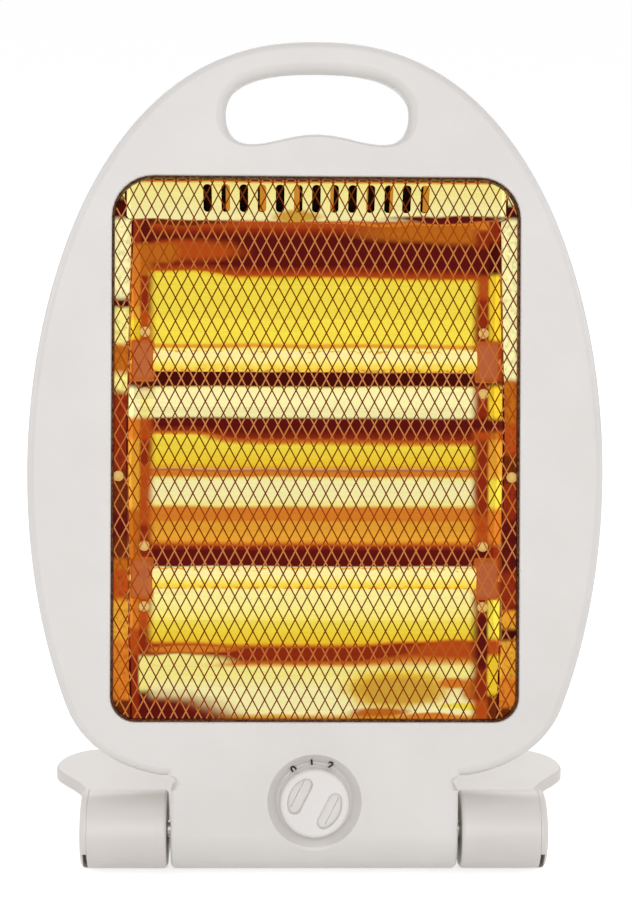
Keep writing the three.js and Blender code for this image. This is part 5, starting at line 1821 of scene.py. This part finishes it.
@dataclass(frozen=True)
class GlowingQuartz(Finish):
    """Fused quartz, drawn and frosted by the heat: a soft tube that glows cream above and gold below."""

    axes: Point  # heights of the two tubes
    radius: float = 5.0
    strength: float = 0.9
    tones: tuple[tuple[float, Tone], ...] = (
        (0.0, Tone.ORANGE), (0.08, Tone.GOLD), (0.3, Tone.LEMON), (0.62, Tone.PALE), (0.85, Tone.CREAM),
        (0.95, Tone.PALE), (1.0, Tone.AMBER),
    )

    def surface(self, paint: Painter, at: Node) -> Node:
        """The glowing tube's shader."""
        z = add(paint.tree, "SeparateXYZ", {}, {0: at}).outputs["Z"]
        upper, lower = self.axes
        higher = paint.math("GREATER_THAN", z, up((upper + lower) / 2))
        rise = paint.math("SUBTRACT", z, paint.span(higher, 0.0, 1.0, (up(lower), up(upper))))
        wave = paint.span(paint.noise(at, 0.35, 3.0), 0.3, 0.7, (-1.3, 1.3), clamp=False)
        place = paint.span(paint.math("ADD", rise, wave), -self.radius, self.radius)
        glow = {"Emission Color": paint.ramp(place, self.tones), "Emission Strength": self.strength}
        return paint.shader(linear("#6E5A34"), {"Roughness": 0.3, "IOR": 1.46, **glow})


@dataclass(frozen=True)
class WorkedMetal(Finish):
    """Small metal parts, such as zinc-plated steel: silky, with the faint clouds of the plating bath."""

    light: str
    dark: str
    roughness: float = 0.32
    cloud: float = 1.6  # millimetres

    def surface(self, paint: Painter, at: Node) -> Node:
        """The metal's shader."""
        cloud = paint.noise(at, 1 / self.cloud, 4.0)
        tint = paint.ramp(cloud, ((0.35, self.dark), (0.65, self.light)))
        rough = (self.roughness + 0.07, self.roughness - 0.07)
        return paint.shader(tint, {"Metallic": 1.0, **paint.uneven(cloud, rough, (0.15, 0.02))})


@dataclass(frozen=True)
class Moulding(Finish):
    """Dull moulded or fired stuff, such as rubber, phenolic or steatite, with its flow marks and pores."""

    light: str
    dark: str
    roughness: float
    index: float
    mark: float = 2.0  # millimetres between flow marks
    stretched: float = 1.0  # how much longer than high the marks are
    depth: float = 0.03

    def surface(self, paint: Painter, at: Node) -> Node:
        """The moulding's shader."""
        drawn = paint.vector("DIVIDE", at, (self.mark * self.stretched, self.mark, self.mark))
        marks = paint.noise(drawn, 1.0, 4.0, Distortion=0.6)
        tint = paint.ramp(marks, ((0.35, self.dark), (0.65, self.light)))
        rough = (self.roughness - 0.06, self.roughness + 0.06)
        return paint.shader(tint, {"IOR": self.index, **paint.uneven(marks, rough, (0.3, self.depth))})


@dataclass(frozen=True)
class BraidedSleeve(Finish):
    """Glass-fibre sleeving over a lead: a fine diamond braid of cream yarns."""

    yarn: float = 0.9  # millimetres between yarns, drawn twice as coarse as the real braid

    def surface(self, paint: Painter, at: Node) -> Node:
        """The braid's shader."""
        heights = []
        for degrees in (40.0, -40.0):
            aim = add(paint.tree, "Mapping", {}, {"Vector": at, "Rotation": (0, math.radians(degrees), 0)})
            heights.append(add(paint.tree, "TexWave", {}, {"Vector": aim, "Scale": 0.314 / self.yarn}))
        braid = paint.math("MAXIMUM", *heights)
        tint = paint.ramp(braid, ((0.3, "#8C8064"), (0.9, "#D8CFB4")))
        return paint.shader(tint, {"Roughness": 0.8, "Normal": paint.bump(braid, 0.6, 0.15)})


@dataclass(frozen=True)
class RedHotWire(Finish):
    """Kanthal resistance wire at working heat: orange, brighter where its turns are closer."""

    turn: float = 1.2  # millimetres between turns

    def surface(self, paint: Painter, at: Node) -> Node:
        """The glowing wire's shader."""
        turns = add(paint.tree, "TexWave", {}, {"Vector": at, "Scale": 0.314 / self.turn})
        glow = {"Emission Color": paint.ramp(turns, ((0.2, "#D8480C"), (0.8, "#FFC460"))),
                "Emission Strength": 1.4}
        return paint.shader(linear("#3A2A22"), {"Metallic": 1.0, "Roughness": 0.5, **glow})


@dataclass(frozen=True)
class ScreenInk(Finish):
    """Black pad-printing ink: flat, a little uneven where the pad lifted off."""

    def surface(self, paint: Painter, at: Node) -> Node:
        """The ink's shader."""
        tint = paint.ramp(paint.noise(at, 2.5, 2.0), ((0.3, "#1C1A1A"), (0.8, "#3A3636")))
        return paint.shader(tint, {"Roughness": 0.6})


def finishes(at: Matrix, low: Matrix) -> dict[str, bpy.types.Material]:
    """Makes every material of the heater.

    Args:
        at: The casing's frame.
        low: The foot's frame.

    Returns:
        The materials, by a short word each.
    """
    glow = Glow(bpy.data.node_groups.new("painted_window_light", "ShaderNodeTree")).build()
    kinds = {
        # Warm off-white ABS takes a broad soft highlight, so the casing reads as satin, not as paper.
        "casing": MouldedAbs("moulded_abs_casing", at, "#E3E0DC", "#DEDAD6"),
        "foot": MouldedAbs("moulded_abs_foot", low, "#DFDAD5", "#D9D3CE"),
        "knob": MouldedAbs("moulded_abs_knob", at, "#E8E5E2", "#E3DFDC"),
        # Rolled aluminium with fine streaks along the sheet; its bands are painted reflections and painted
        # shade, given off as emission.
        "dish": LitMetal("rolled_aluminium_reflector", at, glow, "#C9C6C0"),
        # Nickel-plated wire with painted light: dark before the bright painted bands and pale pink before
        # the dark folds, given off as emission.
        "wire": LitMetal("woven_nickel_plated_wire", at, glow, "#B9B2A8", 0.8, dent=1.2, depth=0.02, tones=(
            (0.0, "#D98E58"), (0.05, "#CC7838"), (0.2, "#A4480E"), (0.4, "#862E06"), (0.8, "#762C04"))),
        # Strips behind some slots, painted orange with light and given off as emission.
        "rib": LitMetal("aluminium_rib_painted_glow", at, glow, "#B8863A", 0.75, tones=(
            (0.0, "#D98A2C"), (1.0, "#DE9432"))),
        # Steatite is a smooth, dull ceramic; its orange is painted light, given off as emission where it
        # faces the front.
        "ceramic": LitMetal("fired_steatite", at, glow, "#C9B79A", 0.85, 0.0, 0.6, 0.8, 0.05, (
            (0.0, "#A84410"), (0.12, "#BE5A12"), (1.0, "#CE6C18"))),
        # The brackets take the painted window light as emission where they face the front.
        "lit_zinc": LitMetal("zinc_plated_steel_lit", at, glow, "#B5B1A8", 0.75, dent=1.6, depth=0.03),
        # The screws' heads carry painted glints, given off as emission.
        "glint": LitMetal("zinc_plated_screw_lit", at, glow, "#CFCBC2", 0.8, dent=1.2, depth=0.05, tones=(
            (0.0, "#B8742C"), (0.05, "#E8C070"), (1.0, "#FBF1AC"))),
        # A black strip behind the slots, put in as painted shade.
        "baffle": WorkedMetal("blackened_steel_baffle", at, "#1E100B", "#120907", 0.6),
        "lining": WorkedMetal("blackened_steel_strip", at, "#4A2F22", "#2C1812", 0.42),
        "quartz": GlowingQuartz("frosted_fused_quartz", at, (LAYOUT.upper_tube, LAYOUT.lower_tube)),
        "coil": RedHotWire("kanthal_coil", at),
        "zinc": WorkedMetal("zinc_plated_steel", at, "#CFCBC2", "#B4B0A8"),
        "stand_zinc": WorkedMetal("zinc_plated_pin", low, "#CFCBC2", "#B4B0A8"),
        "phenolic": Moulding("moulded_phenolic", at, "#262322", "#171514", 0.42, 1.62, 3.0, 2.0),
        "stoneware": Moulding("fired_steatite_block", at, "#E4DCCB", "#D3C9B4", 0.62, 1.6, 0.8),
        "rubber": Moulding("moulded_rubber", low, "#2A2928", "#1C1B1B", 0.72, 1.52, 0.9),
        "sleeve": BraidedSleeve("glass_fibre_sleeve", at),
        "ink": ScreenInk("pad_printed_ink", at),
    }
    return {word: finish.material() for word, finish in kinds.items()}


# ------------------------------------------------------------------ studio


@dataclass
class Studio:
    """A pale floor, soft light and the camera that took the photograph."""

    place: Matrix
    pixel: float = 0.4565  # millimetres of the front plane
    rows: float = 912.0
    distance: float = 900.0
    eye_height: float = 190.05
    roll: float = 0.24  # degrees
    yaw: float = -1.3
    film: float = 36.0
    floor_half: float = 16.0  # metres
    sky: float = 0.52
    shine: float = 0.62  # of the floor's white
    # Each soft box with its place and its size in metres, and its watts. The one at the back stands over
    # the foot: it lights the plate's wings and leaves the front alone.
    boxes: tuple[tuple[str, tuple[float, float, float], float, float], ...] = (
        ("front_box", (0.0, -1.8, 0.85), 1.2, 13.5), ("left_box", (-1.4, -0.1, 0.7), 0.9, 4.0),
        ("right_box", (1.4, -0.1, 0.7), 0.9, 4.0), ("back_box", (0.0, 1.5, 1.1), 1.2, 9.0),
    )
    middle: tuple[float, float, float] = (0.0, 0.0, 0.19)  # where the soft boxes look

    def camera(self) -> None:
        """Puts the camera before the leaning front, as far off as the photograph's."""
        lens = bpy.data.cameras.new("camera")
        lens.sensor_width = self.film
        lens.lens = self.film * self.distance / (self.rows * self.pixel)
        camera = linked("camera", lens)
        swing = Matrix.Rotation(math.radians(self.yaw), 4, "Z")
        back = Matrix.Translation((0, -self.distance * MM, 0)) @ Matrix.Rotation(math.radians(90), 4, "X")
        aim = Matrix.Translation((0, LAYOUT.front * MM, up(self.eye_height) * MM))
        roll = Matrix.Rotation(math.radians(self.roll), 4, "Z")
        camera.matrix_world = self.place @ aim @ swing @ back @ roll
        bpy.context.scene.camera = camera

    def lamp(self, name: str, spot: Sequence[float], size: float, watts: float) -> None:
        """A square soft box that looks at the heater's middle."""
        light = bpy.data.lights.new(name, "AREA")
        light.energy = watts
        light.size = size
        aim = (Vector(self.middle) - Vector(spot)).to_track_quat("-Z", "Y")
        linked(name, light).matrix_world = Matrix.Translation(spot) @ aim.to_matrix().to_4x4()

    def white_behind(self, paint: Painter, plain: Node, white: Node, output: str) -> None:
        """Shows white to the eye and in glossy and clear things, and the plain shader to other light."""
        path = add(paint.tree, "LightPath")
        rays = path.outputs["Is Camera Ray"]
        for other in ("Is Glossy Ray", "Is Transmission Ray"):
            rays = paint.math("MAXIMUM", rays, path.outputs[other])
        mixed = add(paint.tree, "MixShader", {}, {0: rays, 1: plain, 2: white})
        add(paint.tree, output, {}, {"Surface": mixed})

    def cleared(self, owner: bpy.types.World | bpy.types.Material) -> Tree:
        """An empty node tree of a world or a material."""
        owner.use_nodes = True
        owner.node_tree.nodes.clear()
        return owner.node_tree

    def world(self) -> None:
        """An even pale sky that lights the heater at a plain level and shows as white."""
        world = bpy.data.worlds.new("world")
        tree = self.cleared(world)
        sky = add(tree, "Background", {}, {"Color": linear("#F4F4F6"), "Strength": self.sky})
        white = add(tree, "Background", {}, {"Color": WHITE, "Strength": 1.0})
        self.white_behind(Painter(tree), sky, white, "OutputWorld")
        bpy.context.scene.world = world

    def floor(self) -> None:
        """A pale floor that shows as white but keeps the heater's shadow."""
        half = self.floor_half
        mesh = bpy.data.meshes.new("floor")
        corners = [(-half, -half, 0), (half, -half, 0), (half, half, 0), (-half, half, 0)]
        mesh.from_pydata(corners, [], [(0, 1, 2, 3)])
        material = bpy.data.materials.new("floor_paper")
        tree = self.cleared(material)
        paper = add(tree, "BsdfDiffuse", {}, {"Color": linear("#E6E6E6")})
        shine = add(tree, "Emission", {}, {"Color": WHITE, "Strength": self.shine})
        white = add(tree, "AddShader", {}, {0: paper, 1: shine})
        self.white_behind(Painter(tree), paper, white, "OutputMaterial")
        mesh.materials.append(material)
        linked("floor", mesh)

    def build(self) -> None:
        """Builds the studio."""
        self.camera()
        self.world()
        self.floor()
        for name, spot, size, watts in self.boxes:
            self.lamp(name, spot, size, watts)
        bpy.context.scene.view_settings.view_transform = "Standard"


# The start of each kept CAD node's name and the word of the finish that it gets on its own shape.
KEPT = (
    ("filament", "coil"), ("lead", "sleeve"), ("rotary_switch", "phenolic"), ("tilt_switch", "phenolic"),
    ("thermal_cutout", "phenolic"), ("terminal_block", "stoneware"), ("pivot_pin", "stand_zinc"),
    ("friction_spring", "stand_zinc"), ("switch_shaft", "zinc"),
)


def dress(finish: dict[str, bpy.types.Material]) -> None:
    """Gives each kept node its finish."""
    for name, node in frame["nodes"].items():
        for start, word in KEPT:
            if name.startswith(start):
                node.data.materials.clear()
                node.data.materials.append(finish[word])
                log.info("%s: %s", name, finish[word].name)


def main() -> None:
    """Builds the heater's pieces in order, then the studio round it."""
    logging.basicConfig(level=logging.INFO, format="%(name)s: %(message)s")
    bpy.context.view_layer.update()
    heater, stand = casing_place(), hinge_place()
    finish = finishes(heater, stand)
    barrel = HingeBarrel()
    FrontShell(finish["casing"], barrel).build(heater)
    RearShell(finish["casing"], barrel).build(heater)
    Guard(finish["wire"], finish["lining"]).build(heater)
    Reflector(finish["dish"], finish["rib"], finish["baffle"]).build(heater)
    Tubes(finish["quartz"], finish["ceramic"], finish["lit_zinc"], finish["glint"]).build(heater)
    Dial(finish["knob"], finish["ink"]).build(heater)
    Foot(finish["foot"], finish["rubber"]).build(stand)
    BackFittings(finish["zinc"], finish["phenolic"]).build(heater)
    dress(finish)
    Studio(heater).build()


if __name__ == "__main__":
    main()
